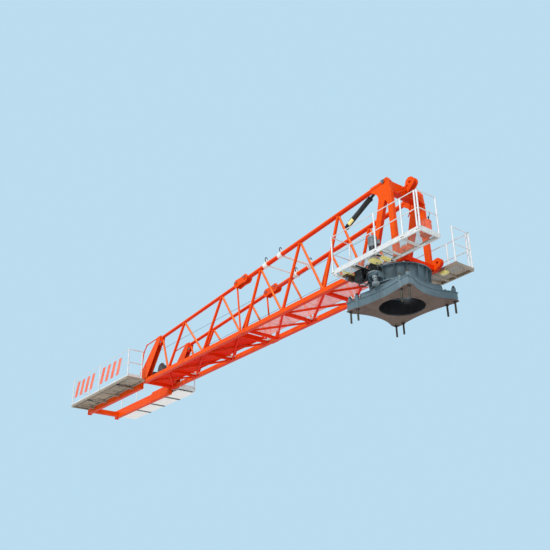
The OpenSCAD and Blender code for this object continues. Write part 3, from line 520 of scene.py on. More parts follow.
for node in NODES.values():
    for index, holder in enumerate(node.data.materials):
        finish = holder and MATERIALS.get(holder.name.split(".")[0])
        if finish:
            node.data.materials[index] = finish
for name, look in (("rear_floor_frame_right", "darker_floor_frame"),
                   ("slew_floor_frame_left", "darker_floor_frame"),
                   ("winch_frame", "joist_grey")):
    for index in range(len(NODES[name].data.materials)):
        NODES[name].data.materials[index] = MATERIALS[look]

# ---------------------------------------------------------------- mesh floors

RIM_WIDTH = 0.03        # flat bars round and across a mesh floor
RIM_HALF_HEIGHT = 0.004
MOTOR = Vector((0, -0.97, 0))
MOTOR_HATCH = 0.2       # radius of the opening that lets the gear motor through


def expanded_mesh(node, pitch_x=0.085, pitch_y=0.04, strand=0.006):
    """Diamond mesh in place of a plain floor panel: a grid poked, its straight
    edges dissolved, and the diamonds left as strands."""
    low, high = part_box(node)
    across, along = high.y - low.y, high.x - low.x
    nx, ny = round(along / pitch_x), round(across / pitch_y)
    bpy.ops.mesh.primitive_grid_add(
        x_subdivisions=nx, y_subdivisions=ny, size=1,
        location=((low.x + high.x) / 2, (low.y + high.y) / 2, (low.z + high.z) / 2))
    sheet = bpy.context.object
    sheet.scale = (along, across, 1)
    settle(sheet)
    edit(sheet, "EDGE")
    mesh = bmesh.from_edit_mesh(sheet.data)
    marks = {tuple(sorted(v.index for v in edge.verts))
             for edge in mesh.edges if not edge.is_boundary}
    bpy.ops.mesh.select_all(action="SELECT")
    bpy.ops.mesh.poke()
    bpy.ops.mesh.select_all(action="DESELECT")
    mesh = bmesh.from_edit_mesh(sheet.data)
    for edge in mesh.edges:
        edge.select_set(tuple(sorted(v.index for v in edge.verts)) in marks)
    bmesh.update_edit_mesh(sheet.data)
    bpy.ops.mesh.dissolve_edges(use_verts=False)
    done()
    return modify(sheet, "WIREFRAME", thickness=strand, use_even_offset=False,
                  use_boundary=True, use_replace=True)


def cut_round(sheet, centre, radius):
    """Takes the strands away inside a circle."""
    edit(sheet, "VERT")
    mesh = bmesh.from_edit_mesh(sheet.data)
    for vert in mesh.verts:
        vert.select_set((vert.co.xy - centre.xy).length < radius)
    mesh.select_flush_mode()
    bmesh.update_edit_mesh(sheet.data)
    bpy.ops.mesh.delete(type="VERT")
    done()


def mesh_floor(node, name, slot, bars, hatch=False, **pitch):
    """A mesh floor on flat bars, open round the gear motor where it passes."""
    sheet = expanded_mesh(node, **pitch)
    low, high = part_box(node)
    if hatch:
        cut_round(sheet, MOTOR, MOTOR_HATCH)
    z = (low.z + high.z) / 2
    under, over = z - RIM_HALF_HEIGHT, z + RIM_HALF_HEIGHT
    strips = [plain_box((low.x, y, under), (high.x, y + RIM_WIDTH, over))
              for y in (low.y, high.y - RIM_WIDTH)]
    strips += [plain_box((x, low.y + RIM_WIDTH, under),
                         (x + RIM_WIDTH, high.y - RIM_WIDTH, over))
               for x in (low.x, high.x - RIM_WIDTH, *bars)]
    sheet = fit(join([sheet] + strips), name, slot)
    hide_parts(node)


let_go()
mesh_floor("inner_walkway", "walkway_mesh_floor", "walkway_mesh",
           bars=(-1.5, -2.44, -3.45, -4.42, -5.4), pitch_x=0.07, pitch_y=0.035,
           strand=0.011)
mesh_floor("rear_grating_right", "rear_mesh_floor_right", "grating",
           bars=(-16.55, -15.3, -13.98), pitch_x=0.07, pitch_y=0.03, strand=0.011)
mesh_floor("slew_grating_right", "slew_mesh_floor_right", "grating",
           bars=(-0.5, 0.6, 1.4), hatch=True)
mesh_floor("slew_grating_left", "slew_mesh_floor_left", "grating",
           bars=(-0.1, 0.7), pitch_x=0.07, pitch_y=0.03, strand=0.011)

# ---------------------------------------------------------------- base and turntable

STUDS = [(sx * 0.955 + k * 0.14, sy * 0.9, 0)
         for sx in (-1, 1) for sy in (-1, 1) for k in (-1, 1)]
THREAD_START, THREAD_END, THREAD_PITCH = -0.332, -0.17, 0.008
LINER_RADIUS = 0.6395
RIM_BOLTS = 32
RIM_START = math.pi / RIM_BOLTS      # half a pitch
HATCH_BOLTS = 24


def mast_studs():
    """Threads on both ends of the studs, and the guide collars under the feet."""
    steps = [(-0.339, 0.026)]
    z = THREAD_START
    while z < THREAD_END:
        steps += [(z, 0.0292), (z + 0.004, 0.0283)]
        z += THREAD_PITCH
    steps.append((-0.168, 0.0281))
    thread = turned(steps, sides=16)
    top = turned([(0.432, 0.0281), (0.437, 0.0292), (0.441, 0.0283), (0.445, 0.0292),
                  (0.449, 0.0283), (0.453, 0.0292), (0.4605, 0.026)], sides=16)
    fit(join(copies(thread, STUDS) + copies(top, STUDS)), "stud_threads",
        "bolt_steel", "base")
    collar = turned([(-0.026, 0.046), (-0.022, 0.052), (-0.001, 0.052)])
    fit(join(copies(collar, STUDS)), "stud_collars", "ring_steel", "base")


def access_painted_shade_liner():
    """Painted shade in the access hole: a thin dark liner on its bore; and a painted
    highlight: a bright rolled lip at its lower rim.
    """
    liner = turned([(0.03, LINER_RADIUS), (0.39, LINER_RADIUS), (0.395, 0.632)],
                   sides=96)
    delete_faces(liner, lambda centre, normal: abs(normal.z) > 0.9)
    modify(liner, "SOLIDIFY", thickness=0.003, offset=-1)
    # painted shade: a thin dark sheet darkens the bore of the hole
    fit(liner, "access_painted_shade_liner", "ring_steel", "base", look="winch_black")
    # painted highlight: a bright ring along the hole's lower rim
    lip = turned([(0.001, LINER_RADIUS), (0.012, LINER_RADIUS), (0.02, 0.634),
                  (0.012, 0.63), (0.001, 0.63)], sides=96)
    delete_faces(lip, lambda centre, normal: centre.xy.length < 0.6)
    fit(lip, "access_painted_highlight_lip", "ring_steel", "base", look="pin_steel")


mast_studs()
access_painted_shade_liner()
bolts("turntable_flange_bolts", round_places(RIM_BOLTS, 0.834, 0.516, RIM_START),
      0.014, 0.02, slot="ring_steel")
bolts("turntable_rim_bolts", round_places(RIM_BOLTS, 0.868, 0.916, RIM_START),
      0.014, 0.02, toward=(0, 0, -1), slot="ring_steel")
bolts("hatch_plate_bolts", round_places(HATCH_BOLTS, 0.6, 0.906, 0.05),
      0.011, 0.014, toward=(0, 0, -1), slot="ring_steel")

# ---------------------------------------------------------------- slewing gear motor

FINS = 24
COWL_RINGS = 3
FLANGE_BOLTS = 12
BOX_TURN = math.radians(-60)         # the terminal box looks off to one side


def gearmotor_trim():
    """Fins, fan cowl, dark brake housing, terminal box and flange bolts."""
    fin = plain_box((0.108, -0.003, 1.612), (0.127, 0.003, 1.818))
    fins = [copy_to(fin, MOTOR, turn=math.radians(360 / FINS * i))
            for i in range(FINS)]
    bpy.data.objects.remove(fin)
    fit(join(fins), "motor_fins", "motor_paint")
    cowl = turned([(1.806, 0.129), (1.812, 0.131), (1.85, 0.129), (1.868, 0.118),
                   (1.8795, 0.09)], MOTOR, sides=40)
    edit(cowl)
    pick_faces(cowl, lambda centre, normal: normal.z > 0.95 and centre.z > 1.875)
    for _ in range(COWL_RINGS):
        bpy.ops.mesh.inset(thickness=0.012)
        bpy.ops.mesh.inset(thickness=0.01)
        bpy.ops.mesh.extrude_region_move(
            TRANSFORM_OT_translate={"value": (0, 0, -0.004)})
    done()
    fit(cowl, "motor_fan_cowl", "motor_paint")
    sleeve = turned([(1.378, 0.104), (1.384, 0.1125), (1.4, 0.1125), (1.404, 0.109),
                     (1.45, 0.109), (1.454, 0.1125), (1.54, 0.1125), (1.548, 0.104)],
                    MOTOR, sides=40)
    lower = turned([(1.19, 0.08), (1.194, 0.092), (1.23, 0.092), (1.234, 0.0865),
                    (1.36, 0.0865), (1.364, 0.08)], MOTOR, sides=40)
    fit(join([sleeve, lower]), "motor_brake_housing", "winch_black")
    terminal_box = join([
        plain_box((0.105, -0.06, 1.64), (0.185, 0.06, 1.77)),
        plain_box((0.183, -0.066, 1.634), (0.197, 0.066, 1.776)),
        turned([(0, 0.016), (0.02, 0.016), (0.022, 0.012), (0.045, 0.012)],
               (0.15, 0.02, 1.64), (0, 0, -1), 12)])
    fit(copy_to(terminal_box, MOTOR, turn=BOX_TURN), "motor_terminal_box",
        "motor_paint")
    bpy.data.objects.remove(terminal_box)
    bolts("motor_flange_bolts", round_places(FLANGE_BOLTS, 0.147, 0.772, 0.1, MOTOR),
          0.012, 0.016, slot="ring_steel")
    bolts("motor_neck_bolts", round_places(FLANGE_BOLTS, 0.138, 1.182, 0.1, MOTOR),
          0.011, 0.014, slot="ring_steel")


def gearbox_painted_shade():
    """Painted shade: a dark shell round the gearbox, between its flanges."""
    jacket = turned([(0.774, 0.1282), (0.775, 0.1308), (0.81, 0.1308), (0.814, 0.1295),
                     (0.86, 0.1295), (0.864, 0.1308), (0.90, 0.1308), (0.904, 0.1295),
                     (1.09, 0.1295), (1.094, 0.1308), (1.13, 0.1308), (1.131, 0.1282)],
                    MOTOR, sides=48)
    # painted shade: the gearbox darkened by a dark shell
    fit(jacket, "gearbox_painted_shade", "winch_black")


gearmotor_trim()
gearbox_painted_shade()

# ---------------------------------------------------------------- pipes and cabinet

THICK_PIPE, THIN_PIPE, DRAIN = 0.017, 0.013, 0.014
THICK_RUNS = [
    [(-0.40, -1.10, 0.664), (-0.40, -1.10, 0.62), (-0.38, -1.11, 0.57),
     (-0.27, -1.115, 0.56), (-0.18, -1.115, 0.60), (-0.16, -1.115, 0.72),
     (-0.16, -1.10, 0.84), (-0.12, -1.03, 0.86)],
    [(-0.45, -1.12, 0.664), (-0.45, -1.13, 0.60), (-0.42, -1.15, 0.54),
     (-0.25, -1.155, 0.53), (-0.13, -1.155, 0.58), (-0.11, -1.15, 0.74),
     (-0.11, -1.13, 0.90), (-0.09, -1.06, 0.93)],
    [(-0.52, -1.08, 0.664), (-0.53, -1.08, 0.58), (-0.50, -1.06, 0.50),
     (-0.34, -1.03, 0.48), (-0.24, -1.02, 0.50), (-0.22, -1.02, 0.58)]]
THIN_RUNS = [
    [(-0.74, -0.98, 0.92), (-0.74, -0.98, 0.86), (-0.70, -0.99, 0.82),
     (-0.66, -1.0, 0.81), (-0.619, -1.0, 0.81)],
    [(-0.78, -1.08, 0.92), (-0.78, -1.08, 0.80), (-0.73, -1.08, 0.74),
     (-0.66, -1.07, 0.73), (-0.619, -1.06, 0.73)],
    [(-0.321, -1.0, 0.88), (-0.28, -1.0, 0.88), (-0.22, -1.02, 0.92),
     (-0.17, -1.03, 1.0), (-0.12, -1.02, 1.04)],
    [(-0.321, -1.06, 0.80), (-0.27, -1.08, 0.80), (-0.23, -1.13, 0.84),
     (-0.15, -1.15, 0.98), (-0.09, -1.07, 1.06)]]
DRAIN_RUN = [(0.13, -1.0, 0.81), (0.19, -1.03, 0.80), (0.24, -1.10, 0.82),
             (0.26, -1.14, 0.88), (0.26, -1.14, 0.926)]


def service_pipes():
    """Rigid oil pipes between the cabinet, the pump unit and the gear motor."""
    pipes = [pipe(run, THICK_PIPE, 12) for run in THICK_RUNS]
    pipes += [pipe(run, THIN_PIPE, 12) for run in THIN_RUNS]
    fit(join(pipes), "service_pipes", "winch_black")
    fit(pipe(DRAIN_RUN, DRAIN, 12), "drain_pipe", "wire_rope")


def cabinet_trim():
    """Door with hinges and latches, drip edge and cable glands of the cabinet."""
    levels = (0.71, 0.87)            # of the hinges and the latches
    door = plain_box((-0.606, -1.137, 0.676), (-0.334, -1.1302, 0.956))
    brow = plain_box((-0.622, -1.146, 0.966), (-0.318, -1.1302, 0.976))
    hinges = [turned([(0, 0.008), (0.05, 0.008)], (-0.608, -1.138, z), sides=12)
              for z in levels]
    glands = [turned([(0, 0.018), (0.014, 0.018), (0.016, 0.012), (0.03, 0.012)],
                     (x, -1.0, 0.66), (0, 0, -1), 16)
              for x in (-0.56, -0.5, -0.44, -0.38)]
    fit(join([door, brow] + hinges + glands), "cabinet_door", "winch_black")
    latches = [plain_box((-0.358, -1.145, z), (-0.344, -1.137, z + 0.04))
               for z in levels]
    fit(join(latches), "cabinet_latches", "pin_steel")


def pump_trim():
    """Pale yellow bracket, end cap and filler cap of the pump unit."""
    bars = [plain_box((-0.79, -1.42, 0.962), (-0.745, -0.86, 0.9895)),
            plain_box((-0.975, -1.27, 0.972), (-0.70, -1.245, 0.9895))]
    fit(join(bars), "pump_bracket", "yellow_paint")
    caps = [turned([(0, 0.066), (0.012, 0.066), (0.018, 0.056), (0.018, 0.03),
                    (0.035, 0.03)], (-0.879, -1.18, 0.87), (0, -1, 0), 32),
            turned([(0, 0.04), (0.1, 0.04), (0.112, 0.03)], (-0.83, -0.905, 0.93),
                   (0, 0, -1), 24)]
    fit(join(caps), "pump_caps", "pin_steel")


def arm_dark_strips():
    """Thin dark strips under the arms that carry the platform beside the turret, so
    that their undersides look dark.
    """
    pads = [plain_box((x + 0.004, near, 0.9565), (x + 0.076, far, 0.9598))
            for x, near, far in ((-0.31, -1.43, -0.82), (0.5, -1.43, -1.26),
                                 (0.5, -0.95, -0.82))]
    fit(join(pads), "arm_dark_strips", "winch_black")


service_pipes()
cabinet_trim()
pump_trim()
arm_dark_strips()

# ---------------------------------------------------------------- platforms

SLEW_FLOOR, REAR_FLOOR = 1.08, 1.2
SLEW_POSTS = [(-1.136, -0.744), (-1.136, -1.456), (0.56, -1.456), (1.539, -1.456),
              (2.036, -1.456), (2.126, -1.456), (2.126, -0.744),
              (-0.876, 0.814), (-0.876, 1.526), (-0.206, 1.526), (0.552, 1.526),
              (1.266, 1.526), (1.356, 1.526), (1.356, 0.814)]
REAR_POSTS = [(x, s * y) for s in (-1, 1) for x, y in
              ((-17.766, 0.814), (-17.766, 1.526), (-15.325, 1.526),
               (-12.884, 1.526), (-12.884, 0.93))]
CAPPED_POSTS = [(2.036, -1.456), (2.126, -1.456), (-0.876, 1.526), (1.356, 1.526)]
FRONT_EDGE = 2.1        # feet past it stand across, so that none sticks out
FOOT_BOLT_OUT = 0.05
CLAMPS = (-1.1, 0.56, 1.539, 2.08)
SOFFIT_BARS, BAR_WIDTH = [-16.46, -15.28, -14.09], 0.15
SOFFIT_START, SOFFIT_END = -17.76, -12.89


def post_feet(name, posts, z):
    """A foot plate with two bolts and a collar under each railing post."""
    foot = join([
        plain_box((-0.06, -0.022, 0), (0.06, 0.022, 0.008)),
        turned([(0.008, 0.0242), (0.05, 0.0242), (0.056, 0.024)]),
        plain_box((-0.045, -0.003, 0.006), (0.045, 0.003, 0.04))])
    feet, spots = [], []
    for x, y in posts:
        across = x > FRONT_EDGE
        feet.append(copy_to(foot, (x, y, z), turn=math.pi / 2 if across else 0))
        for out in (-FOOT_BOLT_OUT, FOOT_BOLT_OUT):
            spots.append((x, y + out, z + 0.008) if across else
                         (x + out, y, z + 0.008))
    bpy.data.objects.remove(foot)
    fit(join(feet), name, "galvanised")
    bolts(name + "_bolts", spots, 0.008, 0.01, washer=False)


def post_clamps():
    """Outer clamp blocks of the right platform, each with two dark bolts."""
    block = plain_box((-0.055, -0.014, 0.992), (0.055, 0.0, 1.076))
    blocks = copies(block, [(x, -1.4802, 0) for x in CLAMPS])
    fit(join(blocks), "post_clamps", "white_paint")
    spots = [(x + out, -1.494, 1.034) for x in CLAMPS for out in (-0.03, 0.03)]
    bolts("post_clamp_bolts", spots, 0.014, 0.012, toward=(0, -1, 0),
          slot="ring_steel")


def toe_boards():
    """Low boards along the floors' edges, inside the posts."""
    boards = [plain_box((-1.1, -1.43, 1.081), (2.1, -1.424, 1.165)),
              plain_box((2.094, -1.42, 1.081), (2.1, -0.78, 1.165)),
              plain_box((-0.85, 1.494, 1.081), (1.33, 1.5, 1.165)),
              plain_box((-17.7, -1.5, 1.201), (-12.92, -1.494, 1.29)),
              plain_box((-17.7, 1.494, 1.201), (-12.92, 1.5, 1.29))]
    fit(join(boards), "toe_boards", "galvanised")


def rear_soffit():
    """White sheets under the closed rear floor, with dark bars between them."""
    starts = [SOFFIT_START] + [x + BAR_WIDTH for x in SOFFIT_BARS]
    sheets = [plain_box((start, 0.75, 1.0465), (stop, 1.52, 1.0496))
              for start, stop in zip(starts, SOFFIT_BARS + [SOFFIT_END])]
    fit(join(sheets), "rear_soffit", "white_paint", look="panel_white")
    strips = [plain_box((x, 0.735, 1.0415), (x + BAR_WIDTH, 1.535, 1.0496))
              for x in SOFFIT_BARS]
    fit(join(strips), "rear_soffit_bars", "joist_grey")


def rail_caps():
    """Dark plastic caps on four posts beside the turret."""
    cap = turned([(0, 0.0239), (0.012, 0.0239), (0.018, 0.018)], sides=20)
    tops = [(x, y, 2.19) for x, y in SLEW_POSTS if (x, y) in CAPPED_POSTS]
    fit(join(copies(cap, tops)), "rail_caps", "winch_black")


rear_soffit()
post_feet("slew_post_feet", SLEW_POSTS, SLEW_FLOOR)
post_feet("rear_post_feet", REAR_POSTS, REAR_FLOOR)
post_clamps()
toe_boards()
rail_caps()

# ---------------------------------------------------------------- turret

FLANGE_BOLT_XS = (-0.36, -0.17, -0.07, 0.03, 0.13, 0.23, 0.33)
KEEPER_THICK = 0.008


def turret_trim():
    """Foot flanges with bolts, keeper plates of the chord pins, and thin stays."""
    for s in (-1, 1):
        flange = plain_box((-0.4, s * 0.7105, 0.9462), (0.42, s * 0.785, 0.958))
        name = "foot_flange_" + sided(s)
        fit(flange, name, "orange_paint")
        bolts(name + "_bolts", [(x, s * 0.75, 0.958) for x in FLANGE_BOLT_XS],
              0.014, 0.018)
        inner = s * 0.7505
        outer = inner + s * KEEPER_THICK
        fit(plain_box((0.29, inner, 3.605), (0.41, outer, 3.627)),
            "pin_keeper_" + sided(s), "pin_steel")
        bolts("pin_keeper_bolts_" + sided(s),
              [(x, outer, 3.616) for x in (0.305, 0.395)],
              0.008, 0.008, toward=(0, s, 0), washer=False)
        stay = [(0.02, s * 0.6, 3.02), (0.10, s * 0.6, 3.06), (0.62, s * 0.14, 3.49),
                (0.70, s * 0.1, 3.52), (0.72, s * 0.1, 3.53)]
        fit(pipe(stay, 0.016, 12), "head_stay_" + sided(s), "orange_paint")


turret_trim()

# ---------------------------------------------------------------- raising cylinder

RAM_LOW = Vector((-1.48, -0.49, 2.95))
RAM_AIM = (Vector((0.12, -0.49, 3.7)) - RAM_LOW).normalized()
HIGHLIGHT_EDGE = 0.45       # how far round the cylinder the painted highlight reaches


def ram_at(distance):
    """A place on the cylinder's axis, from its lower pin."""
    return RAM_LOW + RAM_AIM * distance


def raising_cylinder_trim():
    """Gland nut, end rings, ports with their pipe, and a painted highlight: a thin
    plain yellow strip on the cylinder's outward side.
    """
    gland = turned([(0, 0.071), (0.004, 0.083), (0.05, 0.083), (0.054, 0.0795),
                    (0.064, 0.0795), (0.07, 0.041)], ram_at(1.15), RAM_AIM, 32)
    base = turned([(0, 0.0705), (0.004, 0.077), (0.05, 0.077), (0.054, 0.0705)],
                  ram_at(0.09), RAM_AIM, 32)
    wiper = turned([(0, 0.0402), (0.003, 0.05), (0.02, 0.05), (0.024, 0.0402)],
                   ram_at(1.222), RAM_AIM, 32)
    fit(join([gland, base, wiper]), "ram_rings", "cylinder_black")
    side = RAM_AIM.cross(Vector((0, 1, 0))).normalized()
    up = side if side.z > 0 else -side
    ports = [turned([(0.066, 0.024), (0.094, 0.024), (0.096, 0.015), (0.12, 0.015)],
                    ram_at(distance), up, 16) for distance in (0.2, 1.1)]
    line = [ram_at(distance) + up * height for distance, height in
            ((0.2, 0.115), (0.24, 0.125), (0.66, 0.105), (1.04, 0.125), (1.1, 0.115))]
    ports.append(pipe(line, 0.01))
    fit(join(ports), "ram_ports", "wire_rope")
    # painted highlight: a thin yellow strip on the outward side near the lower end
    label = turned([(0, 0.0702), (0.0, 0.0709), (0.22, 0.0709), (0.22, 0.0702)],
                   ram_at(0.16), RAM_AIM, 48)
    outward = (Vector((0, -0.8, 0)) - up * 0.2).normalized()
    delete_faces(label, lambda centre, normal: normal.dot(outward) < HIGHLIGHT_EDGE)
    modify(label, "SOLIDIFY", thickness=0.0006, offset=1)
    fit(label, "ram_painted_highlight", "yellow_paint")


raising_cylinder_trim()

# ---------------------------------------------------------------- grease drum

DRUM = Vector((1.93, -1.01, 0))
PUMP = DRUM + Vector((0.09, 0.05, 0))


def grease_drum_trim():
    """Rolling hoops, the lid with its ring, and a hand pump."""
    hoops = [turned([(z, 0.1595), (z + 0.006, 0.166), (z + 0.014, 0.166),
                     (z + 0.02, 0.1595)], DRUM, sides=48) for z in (1.16, 1.29)]
    rim = turned([(1.425, 0.1595), (1.43, 0.168), (1.448, 0.168), (1.4545, 0.16),
                  (1.4545, 0.15), (1.445, 0.148), (1.445, 0.02), (1.452, 0.016)],
                 DRUM, sides=48)
    foot = turned([(1.0755, 0.157), (1.0765, 0.165), (1.09, 0.165), (1.096, 0.1595)],
                  DRUM, sides=48)
    fit(join(hoops + [rim, foot]), "drum_hoops", "drum_orange")
    neck = turned([(1.452, 0.03), (1.475, 0.03), (1.48, 0.018), (1.56, 0.018),
                   (1.565, 0.026), (1.585, 0.026), (1.59, 0.01)], PUMP, sides=20)
    lever = pipe([DRUM + Vector(place) for place in
                  ((0.09, 0.05, 1.572), (0.12, 0.04, 1.59), (0.14, 0.035, 1.62),
                   (0.145, 0.03, 1.65), (0.15, 0.03, 1.7))], 0.009)
    fit(join([neck, lever]), "drum_hand_pump", "winch_black")


grease_drum_trim()

# ---------------------------------------------------------------- lattice

HALF = 0.65                          # from the middle to a side lattice
CHORD_SLOPE = 0.076
CHORD = Vector((1, 0, CHORD_SLOPE)).normalized()
LOW_CHORD = 1.19                     # height where the braces end below
SPLICE = -6.53
BEAD = 0.006
THICK_BRACE, THIN_BRACE = 0.05, 0.038
INNER_TOPS, INNER_LOWS = (-1.62, -3.43, -5.5), (-0.76, -2.44, -4.42, -6.4)
OUTER_TOPS, OUTER_LOWS = (-7.78, -10.24), (-6.66, -8.94, -11.32)
GUSSETS = (-2.44, -4.42, -6.78, -8.94, -11.32)


def chord_z(x):
    """Height of the middle of the top chord."""
    return 3.575 + (x - 0.35) * CHORD_SLOPE


def seam(place, toward, radius, stretch=1.0):
    """A weld bead round a bar where it meets a flat chord."""
    bpy.ops.mesh.primitive_torus_add(
        major_segments=24, minor_segments=6, major_radius=radius, minor_radius=BEAD)
    ring = bpy.context.object
    ring.scale = (stretch, 1, 1)
    return aim(settle(ring), place, toward)


def brace_seams(name, tops, lows, chord_r):
    """Weld beads at both ends of every brace."""
    beads = []
    for index, top in enumerate(tops):
        for low, r in ((lows[index + 1], THICK_BRACE), (lows[index], THIN_BRACE)):
            head = Vector((top, 0, chord_z(top)))
            foot = Vector((low, 0, LOW_CHORD))
            way = (foot - head).normalized()
            near = head + way * (chord_r * 1.16 + r * 0.42)
            tilt = abs(way.z)
            at_deck = foot - way * (0.07 / tilt)
            for y in (-HALF, HALF):
                over = Vector((0, y, 0))
                beads.append(seam(near + over, way, r + 0.003))
                beads.append(seam(at_deck + over, (0, 0, 1), r + 0.003, 1 / tilt))
    fit(join(beads), name, "orange_paint")


def splice_pins():
    """Keeper bars over the pin heads of the chord splices, with their bolts."""
    bars, spots = [], {-1: [], 1: []}
    for s in (-1, 1):
        for face in (-1, 1):
            for k in (-0.25, 0.25):
                centre = Vector((SPLICE, 0, chord_z(SPLICE))) + CHORD * k
                y = s * HALF + face * 0.1396
                bar = plain_box((-0.075, 0, -0.017), (0.075, face * 0.012, 0.017))
                bar.location = centre + Vector((0, y, 0.03))
                bars.append(settle(bar))
                spots[face] += [centre + Vector((out, y + face * 0.012, 0.03))
                                for out in (-0.058, 0.058)]
    fit(join(bars), "splice_keepers", "pin_steel")
    for face, places in spots.items():
        bolts("splice_keeper_bolts_" + sided(face), places, 0.01, 0.01,
              toward=(0, face, 0), washer=False)


def deck_gussets():
    """White corner plates between the decks and the far chord, below the floors."""
    plates = [outline_plate(
        [(x - 0.34, 0.575, 1.204), (x - 0.05, 0.31, 1.204),
         (x + 0.05, 0.31, 1.204), (x + 0.34, 0.575, 1.204)], 0.005, (0, 0, 1))
        for x in GUSSETS]
    fit(join(plates), "deck_gussets", "white_paint")


def deck_stays():
    """Thin stay under the outer deck, and stiffening angles along its underside."""
    stay = pipe([(-9.2, -0.52, 1.17), (-9.24, -0.5, 1.165), (-10.0, -0.1, 1.16),
                 (-10.81, 0.3, 1.165), (-10.85, 0.32, 1.17)], 0.011)
    ribs = [plain_box((-12.9, y, 1.19), (-6.7, y + 0.03, 1.2098))
            for y in (-0.5, 0.26)]
    fit(join([stay] + ribs), "deck_stays", "orange_paint")


def chord_ends():
    """Hinge brackets where the top chords end on the end posts."""
    parts, heads = [], []
    for middle in (-HALF, HALF):
        for y in (middle - 0.055, middle + 0.043):
            parts.append(outline_plate(
                [(-12.0, y, 2.66), (-12.0, y, 2.44), (-11.9, y, 2.36),
                 (-11.78, y, 2.44), (-11.74, y, 2.66)], 0.012))
        for way in (-1, 1):
            heads.append(turned([(0, 0.045), (0.02, 0.045), (0.026, 0.036)],
                                (-11.885, middle + way * 0.055, 2.46),
                                (0, way, 0), 20))
    # red_paint on these brackets is painted shade, a redder copy of the orange
    fit(join(parts), "chord_end_brackets", "red_paint")
    fit(join(heads), "chord_end_pins", "pin_steel")


def shackles():
    """Bow shackles on the four lugs of the lifting spreaders."""
    parts = []
    for x in (-4.43, -5.2):
        for y in (-HALF, HALF):
            z = chord_z(x) + 0.14
            parts.append(pipe([(x, y + out, z + up) for out, up in (
                (-0.032, 0), (-0.04, 0.03), (-0.05, 0.09), (-0.02, 0.14),
                (0.02, 0.14), (0.05, 0.09), (0.04, 0.03), (0.032, 0))], 0.014))
            parts.append(turned(
                [(-0.052, 0.012), (-0.05, 0.019), (-0.04, 0.019), (-0.038, 0.0125),
                 (0.04, 0.0125), (0.042, 0.018), (0.056, 0.018), (0.058, 0.012)],
                (x, y, z), (0, 1, 0), 16))
    fit(join(parts), "lifting_shackles", "ring_steel")


brace_seams("inner_brace_seams", INNER_TOPS, INNER_LOWS, 0.075)
brace_seams("outer_brace_seams", OUTER_TOPS, OUTER_LOWS, 0.0625)
splice_pins()
deck_gussets()
deck_stays()
chord_ends()
shackles()

# ---------------------------------------------------------------- winch

WINCH = Vector((-12.35, -0.125, 1.5523))
WINCH_MOTOR = Vector((-12.97, -0.125, 1.4623))
ROPE_START, ROPE_END, ROPE_PITCH = -0.218, 0.204, 0.014
WINCH_FINS, FIN_PITCH = 12, 0.026


def winch_trim():
    """Wound rope on the drum, and the fins and cowl of the motor."""
    steps = [(ROPE_START, 0.1705)]
    y = ROPE_START
    while y < ROPE_END:
        steps += [(y + 0.002, 0.187), (y + 0.007, 0.1905), (y + 0.012, 0.187),
                  (y + 0.014, 0.183)]
        y += ROPE_PITCH
    steps.append((0.219, 0.1705))
    fit(turned(steps, WINCH, (0, 1, 0), 40), "wound_rope", "wire_rope", "drum")
    starts = [-0.15 + FIN_PITCH * i for i in range(WINCH_FINS)]
    rings = [turned([(y, 0.149), (y + 0.002, 0.162), (y + 0.008, 0.162),
                     (y + 0.01, 0.149)], WINCH_MOTOR, (0, 1, 0), 32) for y in starts]
    cowl = turned([(-0.236, 0.1), (-0.232, 0.152), (-0.19, 0.158), (-0.186, 0.149)],
                  WINCH_MOTOR, (0, 1, 0), 32)
    fit(join(rings + [cowl]), "winch_motor_fins", "winch_black")


winch_trim()

# ---------------------------------------------------------------- the scene

FLOOR_PLACE, FLOOR_SIZE = (-8, 0, -9.6), 400
FLOOR_COLOUR = (0.8, 0.8, 0.79, 1)
SKY_LIGHT, SKY_STRENGTH = (0.98, 0.99, 1.0, 1), 0.74
BACKGROUND = (0.50, 0.72, 0.87, 1)
SUN_WAY, SUN_STRENGTH, SUN_ANGLE = (-0.28, 0.8, -0.5), 1.6, 10
CAMERA_PLACE = (13.399, -15.113, -8.406)
CAMERA_YAW, CAMERA_PITCH, CAMERA_ROLL = 51.448, 25.406, -1.119
SENSOR_WIDTH, LENS = 36, 51.57
CLIP_END = 500


def plain_floor():
    """A pale matt floor far below the part."""
    bpy.ops.mesh.primitive_plane_add(size=FLOOR_SIZE, location=FLOOR_PLACE)
    ground = bpy.context.object
    ground.name = "studio_floor"
    material = bpy.data.materials.new("studio_floor")
    material.use_nodes = True
    shader = material.node_tree.nodes["Principled BSDF"]
    shader.inputs["Base Color"].default_value = FLOOR_COLOUR
    shader.inputs["Roughness"].default_value = 0.9
    ground.data.materials.append(material)


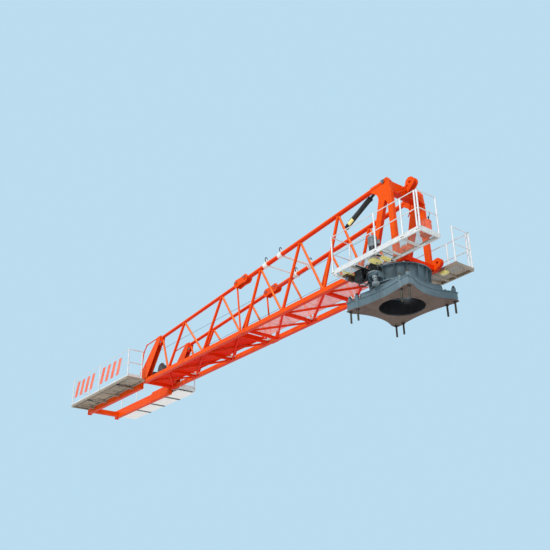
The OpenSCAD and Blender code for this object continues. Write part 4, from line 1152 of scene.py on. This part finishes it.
def pale_world():
    """A pale background for the camera and mirrors, and plain light for the rest."""
    world = bpy.data.worlds.new("studio")
    bpy.context.scene.world = world
    world.use_nodes = True
    tree = world.node_tree
    tree.nodes.clear()
    rays = tree.nodes.new("ShaderNodeLightPath").outputs
    mirrored = maths(tree, "MAXIMUM", rays["Is Glossy Ray"],
                     rays["Is Transmission Ray"])
    seen = maths(tree, "MAXIMUM", rays["Is Camera Ray"], mirrored)
    light = add_node(tree, "Background", {
        "Color": SKY_LIGHT, "Strength": SKY_STRENGTH})
    back = add_node(tree, "Background", {"Color": BACKGROUND, "Strength": 1.0})
    pick = add_node(tree, "MixShader", {
        "Fac": seen, 1: light.outputs[0], 2: back.outputs[0]})
    add_node(tree, "OutputWorld", {"Surface": pick.outputs[0]})


def soft_sun():
    """One wide lamp from the near side and above."""
    lamp = bpy.data.lights.new("key_light", "SUN")
    lamp.energy = SUN_STRENGTH
    lamp.angle = math.radians(SUN_ANGLE)
    obj = bpy.data.objects.new("key_light", lamp)
    bpy.context.collection.objects.link(obj)
    obj.rotation_mode = "QUATERNION"
    obj.rotation_quaternion = Vector(SUN_WAY).to_track_quat("-Z", "Y")


def photo_camera():
    """The camera at the photograph's place and angle."""
    yaw, pitch, roll = (math.radians(a) for a in
                        (CAMERA_YAW, CAMERA_PITCH, CAMERA_ROLL))
    ahead = Vector((-math.sin(yaw) * math.cos(pitch),
                    math.cos(yaw) * math.cos(pitch), math.sin(pitch)))
    right = ahead.cross(Vector((0, 0, 1))).normalized()
    up = right.cross(ahead)
    right, up = (right * math.cos(roll) + up * math.sin(roll),
                 up * math.cos(roll) - right * math.sin(roll))
    turn = Matrix((right, up, -ahead)).transposed()
    lens = bpy.data.cameras.new("photo_camera")
    lens.sensor_width = SENSOR_WIDTH
    lens.lens = LENS
    lens.clip_end = CLIP_END
    camera = bpy.data.objects.new("photo_camera", lens)
    bpy.context.collection.objects.link(camera)
    camera.matrix_world = Matrix.Translation(CAMERA_PLACE) @ turn.to_4x4()
    bpy.context.scene.camera = camera


let_go()
plain_floor()
pale_world()
soft_sun()
photo_camera()
bpy.context.scene.view_settings.view_transform = "Standard"
